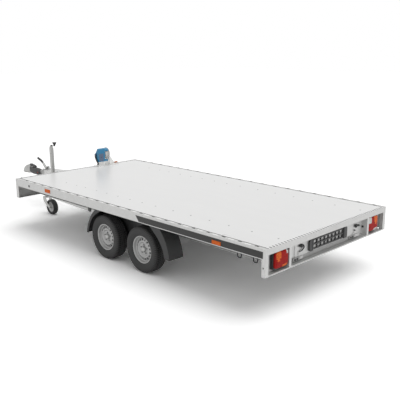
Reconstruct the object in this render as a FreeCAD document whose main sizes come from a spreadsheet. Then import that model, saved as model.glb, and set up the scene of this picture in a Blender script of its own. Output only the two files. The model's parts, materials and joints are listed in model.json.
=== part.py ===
import FreeCAD, Part
import os
import types

import Sketcher

# Flatbed trailer with two braked axles, parked on its jockey wheel.
# X points forward to the coupling, Y to the left and Z up. The origin is on the ground, in the
# middle of the trailer's length and width. Lengths are in millimetres.

doc = FreeCAD.newDocument("flatbed_trailer")
sheet = doc.addObject("Spreadsheet::Sheet", "Dims")

SIZES = {
    # platform
    "overall_length": 6210,
    "deck_length": 4500,
    "deck_width": 2150,
    "deck_height": 700,
    "steel": 4,
    "floor_thick": 15,
    "floor_seam": 3020,
    "beam_depth": 270,
    "rail_depth": 100,
    "rail_flange": 44,
    "rail_ledge": 36,
    # front beam
    "front_beam_width": 67,
    "front_flange": 40,
    # rear beam
    "rear_recess": 60,
    "post_length": 43,
    "post_width": 48,
    "rear_band": 62,
    "rear_lip": 12,
    "rear_flange": 26,
    # lamps, and the walls of their cells
    "lamp_width": 215,
    "lamp_height": 172,
    "lamp_gap": 2,
    "lamp_rim": 6,
    "lamp_corner": 14,
    "lens_depth": 22,
    "cell_recess": 95,
    "divider_wall": 34,
    # ramp bay and its hatch
    "hatch_margin": 121,
    "hatch_height": 176,
    "hatch_lap": 14,
    "hatch_side_lap": 16,
    "hatch_gap": 6,
    "hatch_play": 0.3,
    "bay_setback": 1100,
    "bay_beam_width": 40,
    # pieces on the hatch
    "holder_length": 548,
    "holder_height": 110,
    "holder_depth": 14,
    "holder_drop": 15,
    "plate_lamp_length": 66,
    "plate_lamp_depth": 22,
    "plate_lamp_rim": 6,
    "hook_width": 34,
    "hook_depth": 18,
    "catch_length": 70,
    "catch_height": 26,
    # chassis
    "chassis_inset": 385,
    "chassis_flange": 50,
    "keel_start": 2900,
    "keel_depth": 48,
    "member_height": 50,
    "member_width": 40,
    "member_first": 500,
    "member_pitch": 500,
    # drawbar
    "leg_width": 62,
    "leg_height": 100,
    "leg_bottom": 450,
    "leg_front_y": 66,
    "drawbar_plate_length": 260,
    # wheels and axles
    "axle_front_x": 2480,
    "axle_rear_x": 1800,
    "tyre_radius": 267,
    "tyre_width": 155,
    "tread_width": 124,
    "tyre_wall": 12,
    "tyre_shoulder": 34,
    "wheel_inset": 114,
    "rim_radius": 158,
    "seat_radius": 146,
    "rim_width": 120,
    "rim_sheet": 4,
    "drop_radius": 130,
    "disc_depth": 26,
    "hand_hole_radius": 9,
    "hand_hole_circle": 113,
    "hand_hole_count": 16,
    "hub_bore": 32,
    "hub_radius": 62,
    "drum_radius": 115,
    "drum_wall": 9,
    "drum_width": 72,
    "drum_setback": 153,
    "stub_radius": 20,
    "bearing_gap": 0.05,
    "axle_beam": 80,
    "axle_wall": 6,
    "axle_setback": 196,
    "axle_lead": 140,
    "axle_rise": 78,
    "arm_thick": 25,
    # mudguards
    "guard_inset": 22,
    "guard_width": 203,
    "guard_sheet": 5,
    "guard_front_x": 2825,
    "guard_rear_x": 1307,
    "guard_low": 262,
    # each end's outline, in from its foot and up from its foot, and the outline of the opening
    "guard_front_shoulder": 44,
    "guard_front_shoulder_up": 194,
    "guard_front_crest": 216,
    "guard_rear_shoulder": 33,
    "guard_rear_shoulder_up": 189,
    "guard_rear_crest": 163,
    "guard_round": 480,
    "lip_front_foot": 32,
    "lip_front_shoulder": 88,
    "lip_front_shoulder_up": 210,
    "lip_front_crest": 329,
    "lip_rear_foot": 77,
    "lip_rear_shoulder": 130,
    "lip_rear_shoulder_up": 171,
    "lip_rear_crest": 328,
    "lip_round": 370,
    "arch_gap": 30,
    # jockey wheel, placed ahead of the deck
    "jockey_ahead": 173,
    "jockey_offset": 86,
    "jockey_side": 45,
    "jockey_wall": 3,
    "jockey_tube_low": 330,
    "jockey_tube_top": 1030,
    "jockey_cap": 37,
    "jockey_taper": 8,
    "clamp_wall": 12,
    "swivel_ahead": 207,
    "jockey_trail": 125,
    "jockey_radius": 115,
    "jockey_width": 78,
    "jockey_rim_radius": 74,
    "jockey_pin": 8,
    "fork_gap": 6,
    "fork_plate": 5,
    "crown_top": 259,
    "crown_plate": 8,
    "boss_radius": 21,
    "foot_low": 290,
    "foot_thick": 20,
    "foot_half": 24,
    "crank_reach": 93,
    "crank_bar": 8,
    "knob_radius": 31,
    "knob_height": 52,
    # coupling, its lengths measured back from the nose
    "draw_height": 490,
    "head_length": 235,
    "bellows_length": 330,
    "housing_length": 245,
    "housing_block": 110,
    "housing_half": 58,
    "draw_tube_radius": 35,
    "bellows_radius": 58,
    "bellows_drop": 12,
    "damper_radius": 44,
    "ball_radius": 25.3,
    "ball_back": 80,
    "coupling_low": 420,
    "coupling_half": 55,
    "ear_thick": 24,
    "lever_thick": 22,
    "grip_wall": 3,
    "rod_radius": 5,
    # side markers and lashing hooks, placed along the deck
    "marker_proud": 6,
    "lashing_rear_x": 92,
    "lashing_second_x": 285,
    "lashing_front_x": 2692,
    "lashing_length": 60,
    "lashing_drop": 56,
    "lashing_bar": 12,
    # winch, placed back from the front of the deck
    "winch_back": 68,
    "winch_side": 252,
    "winch_axle_z": 185,
    "winch_shaft": 10,
    "winch_cover_width": 118,
    "winch_drum_width": 68,
    "winch_core_radius": 72,
    "winch_flange_radius": 94,
    "winch_gap": 6,
    "winch_sheet": 5,
    "winch_base_length": 388,
    "winch_base_thick": 6,
    "winch_arm_thick": 10,
    "winch_handle_radius": 9,
}


class Size:
    """A size with its value and the sheet expression that gives it."""

    def __init__(self, text, value):
        self.text = text
        self.value = value

    def __add__(self, other):
        other = as_size(other)
        return Size("(%s + %s)" % (self.text, other.text), self.value + other.value)

    def __radd__(self, other):
        return as_size(other) + self

    def __sub__(self, other):
        other = as_size(other)
        return Size("(%s - %s)" % (self.text, other.text), self.value - other.value)

    def __rsub__(self, other):
        return as_size(other) - self

    def __mul__(self, other):
        other = as_size(other)
        return Size("(%s * %s)" % (self.text, other.text), self.value * other.value)

    def __rmul__(self, other):
        return as_size(other) * self

    def __truediv__(self, other):
        other = as_size(other)
        return Size("(%s / %s)" % (self.text, other.text), self.value / other.value)

    def __neg__(self):
        return Size("(0 - %s)" % self.text, -self.value)


def as_size(value):
    return value if isinstance(value, Size) else Size("(%r)" % float(value), float(value))


def fill_sheet():
    named = {}
    for row, (name, value) in enumerate(SIZES.items(), start=1):
        sheet.set("A%d" % row, name)
        sheet.set("B%d" % row, str(value))
        sheet.setAlias("B%d" % row, name)
        named[name] = Size("Dims." + name, float(value))
    doc.recompute()
    return types.SimpleNamespace(**named)


d = fill_sheet()
nodes = {}


def bind(thing, sizes):
    for prop, value in sizes.items():
        thing.setExpression(prop, as_size(value).text)


def place(thing, corner):
    bind(thing, dict(zip(("Placement.Base.x", "Placement.Base.y", "Placement.Base.z"), corner)))


def keep(name, thing):
    thing.Label = name
    nodes[name] = thing
    return thing


def block(name, xs, ys, zs):
    solid = doc.addObject("Part::Box", name)
    bind(solid, {"Length": xs[1] - xs[0], "Width": ys[1] - ys[0], "Height": zs[1] - zs[0]})
    place(solid, (xs[0], ys[0], zs[0]))
    return solid


AXES = {"x": FreeCAD.Vector(1, 0, 0), "y": FreeCAD.Vector(0, 1, 0), "z": FreeCAD.Vector(0, 0, 1)}


def rod(name, axis, start, radius, length):
    solid = doc.addObject("Part::Cylinder", name)
    turn = FreeCAD.Rotation(AXES["z"], AXES[axis])
    solid.Placement = FreeCAD.Placement(FreeCAD.Vector(), turn)
    bind(solid, {"Radius": radius, "Height": length})
    place(solid, start)
    return solid


def cone(name, start, low_radius, top_radius, height):
    solid = doc.addObject("Part::Cone", name)
    bind(solid, {"Radius1": low_radius, "Radius2": top_radius, "Height": height})
    place(solid, start)
    return solid


def fuse(name, parts):
    if len(parts) == 1:
        return parts[0]
    joined = doc.addObject("Part::MultiFuse", name)
    joined.Shapes = parts
    return joined


def cut(name, base, tools):
    result = doc.addObject("Part::Cut", name)
    result.Base = base
    result.Tool = fuse(name + "_cutters", tools)
    return result


def common(name, base, tool):
    result = doc.addObject("Part::Common", name)
    result.Base = base
    result.Tool = tool
    return result


def group(name, parts):
    together = doc.addObject("Part::Compound", name)
    together.Links = parts
    return together


def origin_feature(body, role):
    return next(item for item in body.Origin.OriginFeatures if item.Role == role)


def outline_sketch(body, name, plane, points):
    """A closed outline whose corners are each held at sizes from the sheet."""
    sketch = body.newObject("Sketcher::SketchObject", name)
    sketch.AttachmentSupport = [(origin_feature(body, plane), "")]
    sketch.MapMode = "FlatFace"
    corners = [FreeCAD.Vector(as_size(a).value, as_size(b).value, 0) for a, b in points]
    count = len(corners)
    lines = [Part.LineSegment(corners[i], corners[(i + 1) % count]) for i in range(count)]
    sketch.addGeometry(lines, False)
    links = [Sketcher.Constraint("Coincident", i, 2, (i + 1) % count, 1) for i in range(count)]
    sketch.addConstraint(links)
    for i, (a, b) in enumerate(points):
        for kind, value in (("DistanceX", a), ("DistanceY", b)):
            value = as_size(value)
            place_in_list = sketch.addConstraint(Sketcher.Constraint(kind, -1, 1, i, 1, value.value))
            sketch.setExpression("Constraints[%d]" % place_in_list, value.text)
    return sketch


# the two directions of each sketch plane, and the one that a prism grows along
PLANES = {"XZ": ("x", "z", "y"), "YZ": ("y", "z", "x"), "XY": ("x", "y", "z")}


def edge_through(shape, plane, corner):
    """The name of the straight edge across a plane through one corner of the outline."""
    first, second, _ = PLANES[plane]
    for number, edge in enumerate(shape.Edges, start=1):
        ends = [vertex.Point for vertex in edge.Vertexes]
        off = [abs(getattr(p, first) - corner[0]) + abs(getattr(p, second) - corner[1]) for p in ends]
        if len(ends) == 2 and max(off) < 1e-4:
            return "Edge%d" % number
    raise RuntimeError("no edge at %s" % (corner,))


def prism(name, plane, points, start, length, rounds=None):
    """A plate with the given outline: plane XZ grows along +Y, YZ along +X, XY along +Z.
    rounds gives the radius at some of the outline's corners, by their place in the list."""
    body = doc.addObject("PartDesign::Body", name)
    sketch = outline_sketch(body, name + "_outline", plane + "_Plane", points)
    pad = body.newObject("PartDesign::Pad", name + "_pad")
    pad.Profile = sketch
    pad.Reversed = plane == "XZ"
    pad.setExpression("Length", as_size(length).text)
    body.Tip = pad
    last = pad
    for index, radius in (rounds or {}).items():
        body.recompute(True)
        corner = [as_size(value).value for value in points[index]]
        edge = edge_through(last.Shape, plane, corner)
        fillet = body.newObject("PartDesign::Fillet", "%s_round_%d" % (name, index))
        fillet.Base = (last, [edge])
        fillet.setExpression("Radius", as_size(radius).text)
        last = fillet
    body.Tip = last
    bind(body, {"Placement.Base." + PLANES[plane][2]: start})
    return body


def turned(name, axis, points, centre):
    """A turned piece: points are (along the axis, radius), the axis through the centre."""
    plane, line = {"y": ("YZ_Plane", "H_Axis"), "x": ("XY_Plane", "H_Axis")}[axis]
    body = doc.addObject("PartDesign::Body", name)
    sketch = outline_sketch(body, name + "_section", plane, points)
    spin = body.newObject("PartDesign::Revolution", name + "_turn")
    spin.Profile = sketch
    spin.ReferenceAxis = (sketch, [line])
    spin.Angle = 360
    body.Tip = spin
    place(body, centre)
    return body


def span(side, inner, outer):
    """The low and high Y of something between two distances from the middle, on one side."""
    return (inner, outer) if side > 0 else (-outer, -inner)


def offsets(origin, points):
    """Points given by their offsets from an origin."""
    return [(origin[0] + a, origin[1] + b) for a, b in points]


SIDES = {"left": 1, "right": -1}
OVER = 1  # how far a cutter reaches past the face that it cuts

rear = -d.overall_length / 2
front = rear + d.deck_length
nose = rear + d.overall_length
half = d.deck_width / 2
top = d.deck_height
floor_low = top - d.floor_thick
beam_low = top - d.beam_depth
rail_low = top - d.rail_depth
floor_half = half - d.rail_flange
rear_inner = rear + d.rear_recess + d.steel
front_inner = front - d.front_beam_width
web_y = half - d.chassis_inset

# Floor: two panels that meet over a cross member
seam = rear + d.floor_seam
keep("floor_rear", block("floor_rear", (rear + d.rear_flange, seam), (-floor_half, floor_half), (floor_low, top)))
keep("floor_front", block("floor_front", (seam, front - d.front_flange), (-floor_half, floor_half), (floor_low, top)))


# Side rails: a folded section with a flat top flange, a ledge for the floor and a bottom flange
def side_rail(name, side):
    ledge_y = floor_half - d.rail_ledge
    foot_y = floor_half + 2 * d.steel
    section = [
        (half, rail_low),
        (half, top),
        (floor_half, top),
        (floor_half, floor_low),
        (ledge_y, floor_low),
        (ledge_y, floor_low - d.steel),
        (floor_half + d.steel, floor_low - d.steel),
        (floor_half + d.steel, top - d.steel),
        (half - d.steel, top - d.steel),
        (half - d.steel, rail_low + d.steel),
        (foot_y, rail_low + d.steel),
        (foot_y, rail_low),
    ]
    section = [(side * y, z) for y, z in section]
    start = rear + d.post_length
    stock = prism(name + "_stock", "YZ", section, start, front_inner - start)
    notch = block(name + "_notch", (rear, rear_inner), span(side, 0, half - d.post_width),
                  (rail_low - OVER, top + OVER))
    return cut(name, stock, [notch])


for word, side in SIDES.items():
    keep("side_rail_" + word, side_rail("side_rail_" + word, side))


# Chassis rails: channels open outwards, their webs on the sides of the ramp bay, with a tapered plate
# along the outer edge ahead of the wheels
def chassis_rail(name, side):
    edge = web_y + d.chassis_flange
    section = [
        (web_y, beam_low),
        (edge, beam_low),
        (edge, beam_low + d.steel),
        (web_y + d.steel, beam_low + d.steel),
        (web_y + d.steel, floor_low - d.steel),
        (edge, floor_low - d.steel),
        (edge, floor_low),
        (web_y, floor_low),
    ]
    section = [(side * y, z) for y, z in section]
    channel = prism(name + "_channel", "YZ", section, rear_inner, front_inner - rear_inner)
    keel_ys = span(side, edge - d.steel, edge)
    keel = prism(name + "_keel", "XZ", [
        (rear + d.keel_start, beam_low + d.steel / 2),
        (rear + d.keel_start, beam_low - d.keel_depth),
        (front_inner, beam_low),
        (front_inner, beam_low + d.steel / 2),
    ], keel_ys[0], d.steel)
    return fuse(name, [channel, keel])


for word, side in SIDES.items():
    keep("chassis_rail_" + word, chassis_rail("chassis_rail_" + word, side))


# Cross members: channels open downwards, between the chassis rails and out to the side rails
def cross_member(name, x, ys):
    low = floor_low - d.member_height
    outer = block(name + "_outer", (x, x + d.member_width), ys, (low, floor_low))
    inner = block(name + "_inner", (x + d.steel, x + d.member_width - d.steel), (ys[0] - OVER, ys[1] + OVER),
                  (low - OVER, floor_low - d.steel))
    return cut(name, outer, [inner])


member_room = d.deck_length - 2 * d.member_first
member_count = int(member_room.value / d.member_pitch.value) + 1
member_spans = {
    "middle": (-web_y, web_y),
    "left": span(1, web_y + d.chassis_flange, floor_half - d.rail_ledge),
    "right": span(-1, web_y + d.chassis_flange, floor_half - d.rail_ledge),
}
member_pieces = []
for index in range(member_count):
    x = rear + d.member_first + index * d.member_pitch
    for where, ys in member_spans.items():
        member_pieces.append(cross_member("member_%s_%d" % (where, index), x, ys))
keep("cross_members", group("cross_members", member_pieces))


# Drawbar: two tubes from the beam at the end of the ramp bay through the front beam to the housing
bay_front = front - d.bay_setback
leg_start = bay_front + d.bay_beam_width
bellows_end = nose - d.head_length
housing_end = bellows_end - d.bellows_length
leg_end = housing_end - d.housing_length
leg_top = d.leg_bottom + d.leg_height
leg_root_y = web_y - d.leg_width / 2

bay_beam_hollow = block("bay_beam_inner", (bay_front + d.steel, leg_start - d.steel), (-web_y - OVER, web_y + OVER),
                        (d.leg_bottom + d.steel, leg_top - d.steel))
bay_beam_stock = block("bay_beam_outer", (bay_front, leg_start), (-web_y, web_y), (d.leg_bottom, leg_top))
keep("bay_beam", cut("bay_beam", bay_beam_stock, [bay_beam_hollow]))


def leg_y(x):
    """How far a drawbar leg's middle is from the trailer's middle, at a place along it."""
    return leg_root_y + (d.leg_front_y - leg_root_y) * (x - leg_start) / (leg_end - leg_start)


def leg_prism(name, side, inset, zs):
    reach = d.leg_width / 2 - inset
    points = [
        (leg_start, side * (leg_root_y - reach)),
        (leg_end, side * (d.leg_front_y - reach)),
        (leg_end, side * (d.leg_front_y + reach)),
        (leg_start, side * (leg_root_y + reach)),
    ]
    return prism(name, "XY", points, zs[0], zs[1] - zs[0])


def drawbar_leg(name, side):
    outer = leg_prism(name + "_outer", side, 0, (d.leg_bottom, leg_top))
    inner = leg_prism(name + "_inner", side, d.steel, (d.leg_bottom + d.steel, leg_top - d.steel))
    return cut(name, outer, [inner])


for word, side in SIDES.items():
    keep("drawbar_" + word, drawbar_leg("drawbar_" + word, side))

plate_back = leg_end - d.drawbar_plate_length
plate_front_half = d.leg_front_y + d.leg_width / 2
plate_back_half = leg_y(plate_back) + d.leg_width / 2
keep("drawbar_plate", prism("drawbar_plate", "XY", [
    (plate_back, -plate_back_half),
    (leg_end, -plate_front_half),
    (leg_end, plate_front_half),
    (plate_back, plate_back_half),
], leg_top, 2 * d.steel))


# Front beam: a deep channel open to the rear, pierced by the drawbar legs
front_stock = block("front_beam_stock", (front_inner, front), (-half, half), (beam_low, top))
front_hollow = [
    block("front_beam_hollow", (front_inner - OVER, front - d.steel), (-(half - d.steel), half - d.steel),
          (beam_low + d.steel, floor_low - d.steel)),
    block("front_beam_step", (front_inner - OVER, front - d.front_flange), (-floor_half, floor_half),
          (floor_low, top + OVER)),
    block("front_beam_nose", (front - d.front_flange + d.steel, front - d.steel),
          (-(half - d.steel), half - d.steel), (floor_low - d.steel - OVER, top - d.steel)),
]
for word, side in SIDES.items():
    front_hollow.append(leg_prism("front_beam_port_" + word, side, 0, (d.leg_bottom, leg_top)))
keep("front_beam", cut("front_beam", front_stock, front_hollow))


# Rear beam: posts, lamp cells, a recess for the hatch and a lip along the bottom
cell_low = beam_low + d.rear_lip
cell_top = top - d.rear_band
cell_back = rear + d.rear_recess
cell_outer = half - d.post_width
divider_outer = cell_outer - d.cell_recess - d.lamp_width
divider_inner = divider_outer - d.divider_wall
hatch_half = divider_inner - d.hatch_margin
bay_half = hatch_half - d.hatch_side_lap
rear_stock = fuse("rear_beam_stock", [
    block("rear_beam_middle", (rear, rear_inner), (-cell_outer, cell_outer), (beam_low, top)),
    block("rear_post_left", (rear, rear + d.post_length), span(1, cell_outer, half), (beam_low, top)),
    block("rear_post_right", (rear, rear + d.post_length), span(-1, cell_outer, half), (beam_low, top)),
])
cells = {
    "middle": (-divider_inner, divider_inner),
    "left": span(1, divider_outer, cell_outer),
    "right": span(-1, divider_outer, cell_outer),
}
rear_cutters = [
    block("rear_beam_step", (rear + d.rear_flange, rear_inner + OVER), (-floor_half, floor_half),
          (floor_low, top + OVER)),
]
for where, ys in cells.items():
    rear_cutters.append(block("rear_cell_" + where, (rear - OVER, cell_back), ys, (cell_low, cell_top)))
    rear_cutters.append(block("rear_band_" + where, (rear + d.steel, cell_back), ys,
                              (cell_top - OVER, floor_low - d.steel)))
hatch_low = cell_low + d.hatch_gap
hatch_top = hatch_low + d.hatch_height
rear_cutters.append(block("bay_mouth", (cell_back - OVER, rear_inner + OVER), (-bay_half, bay_half),
                          (cell_low + d.hatch_lap, hatch_top - d.hatch_gap - d.hatch_lap)))
keep("rear_beam", cut("rear_beam", rear_stock, rear_cutters))


# Tandem mudguards: a skin over both wheels, a lip that widens upwards and an arched inner wall
guard_outer = half - d.guard_inset
guard_inner = guard_outer - d.guard_width
wheel_z = d.tyre_radius
wheel_y = half - d.wheel_inset
AXLES = {"front": d.axle_front_x, "rear": d.axle_rear_x}
guard_front = rear + d.guard_front_x
guard_rear = rear + d.guard_rear_x


def guard_shape(name, feet, shoulders, ups, crests, crest_z, radius, ys):
    """The side view of a guard, each pair of numbers in from its rear and its front foot."""
    outline = [
        (guard_rear + feet[0], d.guard_low),
        (guard_rear + shoulders[0], d.guard_low + ups[0]),
        (guard_rear + crests[0], crest_z),
        (guard_front - crests[1], crest_z),
        (guard_front - shoulders[1], d.guard_low + ups[1]),
        (guard_front - feet[1], d.guard_low),
    ]
    return prism(name, "XZ", outline, ys[0], ys[1] - ys[0], {1: radius, 4: radius})


def mudguard(name, side):
    sheet_thick = d.guard_sheet
    crest = rail_low
    below = d.guard_low - 2 * sheet_thick
    above = d.guard_low + 2 * sheet_thick
    inner_ys = span(side, guard_inner + sheet_thick, guard_outer - sheet_thick)
    lip_ys = span(side, guard_outer - sheet_thick - OVER, guard_outer + OVER)
    arch_ys = span(side, guard_inner - OVER, guard_inner + sheet_thick + OVER)
    shoulders = (d.guard_rear_shoulder, d.guard_front_shoulder)
    ups = (d.guard_rear_shoulder_up, d.guard_front_shoulder_up)
    crests = (d.guard_rear_crest, d.guard_front_crest)
    outer = guard_shape(name + "_outer", (0, 0), shoulders, ups, crests, crest, d.guard_round,
                        span(side, guard_inner, guard_outer))
    hollow = guard_shape(name + "_hollow", (sheet_thick, sheet_thick), [x + 1.2 * sheet_thick for x in shoulders],
                         [z - 0.4 * sheet_thick for z in ups], [x + 0.6 * sheet_thick for x in crests],
                         crest - sheet_thick, d.guard_round, inner_ys)
    face = guard_shape(name + "_face", (d.lip_rear_foot, d.lip_front_foot),
                       (d.lip_rear_shoulder, d.lip_front_shoulder), (d.lip_rear_shoulder_up, d.lip_front_shoulder_up),
                       (d.lip_rear_crest, d.lip_front_crest), crest - sheet_thick, d.lip_round, lip_ys)
    cutters = [
        hollow,
        face,
        block(name + "_open", (guard_rear + sheet_thick, guard_front - sheet_thick), inner_ys, (below, above)),
        block(name + "_face_low", (guard_rear + d.lip_rear_foot, guard_front - d.lip_front_foot), lip_ys,
              (below, d.guard_low + OVER)),
        block(name + "_arch_rear_low", (guard_rear + d.lip_rear_foot, rear + d.axle_rear_x), arch_ys,
              (below, wheel_z + d.guard_width / 2)),
        block(name + "_arch_front_low", (rear + d.axle_front_x, guard_front - d.lip_front_foot), arch_ys,
              (below, wheel_z + d.guard_width / 2)),
    ]
    for word, x in AXLES.items():
        cutters.append(rod(name + "_arch_" + word, "y", (rear + x, arch_ys[0], wheel_z),
                           d.tyre_radius - d.arch_gap, arch_ys[1] - arch_ys[0]))
    return cut(name, outer, cutters)


for word, side in SIDES.items():
    keep("mudguard_" + word, mudguard("mudguard_" + word, side))


# Axles: a torsion beam under the chassis rails, swing arms, back plates and stub axles
beam_z = wheel_z + d.axle_rise
axle_half = wheel_y - d.axle_setback
drum_inner_y = wheel_y - d.drum_setback
hub_face_y = wheel_y + d.disc_depth - d.rim_sheet
plate_gap = 3
stub_gap = 6


def axle(name, x):
    beam_x = x + d.axle_lead
    reach = d.axle_beam / 2
    inner = reach - d.axle_wall
    drain = reach / 2
    tube = block(name + "_tube", (beam_x - reach, beam_x + reach), (-axle_half, axle_half),
                 (beam_z - reach, beam_z + reach))
    hollow = block(name + "_hollow", (beam_x - inner, beam_x + inner), (OVER - axle_half, axle_half - OVER),
                   (beam_z - inner, beam_z + inner))
    hatchway = block(name + "_drain", (beam_x - drain, beam_x + drain), (-drain, drain),
                     (beam_z - reach - OVER, beam_z))
    parts = [cut(name + "_beam", tube, [hollow, hatchway])]
    for word, side in SIDES.items():
        tag = name + "_" + word
        parts.append(block(tag + "_seat", (beam_x - 1.7 * reach, beam_x + 1.7 * reach),
                           span(side, web_y, web_y + d.chassis_flange), (beam_z + reach, beam_low)))
        arm_ys = span(side, axle_half, axle_half + d.arm_thick)
        parts.append(prism(tag + "_arm", "XZ", [
            (x - 35, wheel_z - 28),
            (x + 20, wheel_z - 32),
            (beam_x + reach - 2, beam_z - reach + 4),
            (beam_x + reach - 2, beam_z + reach - 6),
            (beam_x - 30, beam_z + reach - 2),
            (x - 35, wheel_z + 30),
        ], arm_ys[0], arm_ys[1] - arm_ys[0]))
        plate_ys = span(side, axle_half + d.arm_thick, drum_inner_y - plate_gap)
        parts.append(rod(tag + "_plate", "y", (x, plate_ys[0], wheel_z), d.drum_radius + 6, plate_ys[1] - plate_ys[0]))
        stub_ys = span(side, axle_half + d.arm_thick, hub_face_y - stub_gap)
        parts.append(rod(tag + "_stub", "y", (x, stub_ys[0], wheel_z), d.stub_radius, stub_ys[1] - stub_ys[0]))
    return fuse(name, parts)


for word, x in AXLES.items():
    keep("axle_" + word, axle("axle_" + word, rear + x))


# Wheels: tyre, steel disc wheel with round hand holes, hub with brake drum
def tyre(name, centre):
    wide = d.tyre_width / 2
    tread = d.tread_width / 2
    wall = d.tyre_wall
    bead = d.rim_width / 2 - d.rim_sheet
    belly = d.seat_radius + 44
    shoulder = d.tyre_radius - d.tyre_shoulder
    crown = d.tyre_radius - wall - 4
    section = [
        (-bead, d.seat_radius),
        (-bead, d.rim_radius + 1),
        (-wide, belly),
        (-wide, shoulder),
        (-tread, d.tyre_radius),
        (tread, d.tyre_radius),
        (wide, shoulder),
        (wide, belly),
        (bead, d.rim_radius + 1),
        (bead, d.seat_radius),
        (bead - wall, d.seat_radius),
        (wide - wall, belly + 2),
        (tread - 4, crown),
        (4 - tread, crown),
        (wall - wide, belly + 2),
        (wall - bead, d.seat_radius),
    ]
    return turned(name, "y", section, centre)


def rim(name, side, centre):
    edge = d.rim_width / 2
    thin = d.rim_sheet
    dish = d.disc_depth
    section = [
        (-edge, d.rim_radius),
        (-edge + thin, d.rim_radius),
        (-edge + thin, d.seat_radius),
        (-24, d.seat_radius),
        (-14, d.drop_radius),
        (10, d.drop_radius),
        (20, d.seat_radius),
        (edge - thin, d.seat_radius),
        (edge - thin, d.rim_radius),
        (edge, d.rim_radius),
        (edge, d.seat_radius - thin),
        (24, d.seat_radius - thin),
        (dish + 8, d.drop_radius + 2),
        (dish + 10, d.hand_hole_circle - 17),
        (dish + 2, d.hand_hole_circle - 29),
        (dish, d.hand_hole_circle - 39),
        (dish, d.hub_bore),
        (dish - thin, d.hub_bore),
        (dish - thin, d.hand_hole_circle - 37),
        (dish - 2, d.hand_hole_circle - 27),
        (dish + 6, d.hand_hole_circle - 16),
        (dish + 4, d.drop_radius - 2),
        (18, d.seat_radius - thin - 6),
        (12, d.drop_radius - thin),
        (-16, d.drop_radius - thin),
        (-26, d.seat_radius - thin),
        (-edge, d.seat_radius - thin),
    ]
    body = turned(name, "y", [(side * y, radius) for y, radius in section], centre)
    sketch = body.newObject("Sketcher::SketchObject", name + "_hand_hole")
    sketch.AttachmentSupport = [(origin_feature(body, "XZ_Plane"), "")]
    sketch.MapMode = "FlatFace"
    circle_at = FreeCAD.Vector(0, d.hand_hole_circle.value, 0)
    sketch.addGeometry(Part.Circle(circle_at, FreeCAD.Vector(0, 0, 1), d.hand_hole_radius.value), False)
    sketch.addConstraint(Sketcher.Constraint("Radius", 0, d.hand_hole_radius.value))
    sketch.setExpression("Constraints[0]", d.hand_hole_radius.text)
    sketch.addConstraint(Sketcher.Constraint("PointOnObject", 0, 3, -2))
    sketch.addConstraint(Sketcher.Constraint("DistanceY", -1, 1, 0, 3, d.hand_hole_circle.value))
    sketch.setExpression("Constraints[2]", d.hand_hole_circle.text)
    hole = body.newObject("PartDesign::Pocket", name + "_hole")
    hole.Profile = sketch
    hole.Type = "ThroughAll"
    hole.Midplane = True
    ring = body.newObject("PartDesign::PolarPattern", name + "_ring")
    ring.Originals = [hole]
    ring.Axis = (origin_feature(body, "Y_Axis"), [""])
    ring.Angle = 360
    ring.setExpression("Occurrences", d.hand_hole_count.text)
    body.Tip = ring
    return body


def hub(name, side, centre_x):
    bore = d.stub_radius + d.bearing_gap
    boss = d.stub_radius + 14
    face = hub_face_y
    start = drum_inner_y
    end = drum_inner_y + d.drum_width
    cap = 28
    points = [
        (start, bore),
        (start, boss),
        (end - 8, boss),
        (end - 8, d.drum_radius - d.drum_wall),
        (start, d.drum_radius - d.drum_wall),
        (start, d.drum_radius),
        (end, d.drum_radius),
        (end + 8, d.drum_radius - 10),
        (end + 8, d.hub_radius),
        (face, d.hub_radius),
        (face, d.hub_bore - 1),
        (face + cap - 6, d.hub_bore - 3),
        (face + cap, d.hub_bore - 10),
        (face + cap, 0),
        (face - plate_gap, 0),
        (face - plate_gap, bore),
    ]
    return turned(name, "y", [(side * y, radius) for y, radius in points], (centre_x, 0, wheel_z))


for end, x in AXLES.items():
    for word, side in SIDES.items():
        tag = "%s_%s" % (end, word)
        wheel_centre = (rear + x, side * wheel_y, wheel_z)
        keep("tyre_" + tag, tyre("tyre_" + tag, wheel_centre))
        keep("rim_" + tag, rim("rim_" + tag, side, wheel_centre))
        keep("hub_" + tag, hub("hub_" + tag, side, rear + x))


# Overrun housing on the drawbar plate, with a draw tube and the ear that carries the handbrake lever
draw_z = d.draw_height
housing_top = leg_top + 2 * d.steel
block_end = leg_end + d.housing_block
ear_half = d.ear_thick / 2
ear_foot = (leg_end, housing_top)

keep("overrun_housing", fuse("overrun_housing", [
    block("housing_block", (leg_end, block_end), (-d.housing_half, d.housing_half), (d.leg_bottom, housing_top)),
    rod("housing_tube", "x", (block_end, 0, draw_z), d.draw_tube_radius, housing_end - block_end),
    prism("housing_ear", "XZ", offsets(ear_foot, [(8, 0), (92, 0), (78, 30), (34, 52), (14, 52)]),
          -ear_half, d.ear_thick),
]))

# The lever leans forward from the ear, its upper part in a grip that bends further forward
lever_start = ear_half
keep("handbrake_lever", prism("handbrake_lever", "XZ", offsets(ear_foot, [
    (42, 2),
    (74, 2),
    (170, 88),
    (147, 113),
    (44, 36),
]), lever_start, d.lever_thick))
keep("handbrake_grip", prism("handbrake_grip", "XZ", offsets(ear_foot, [
    (170, 88),
    (240, 121),
    (300, 148),
    (304, 160),
    (290, 169),
    (215, 150),
    (147, 113),
]), lever_start - d.grip_wall, d.lever_thick + 2 * d.grip_wall, {2: 5, 4: 8}))

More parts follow.
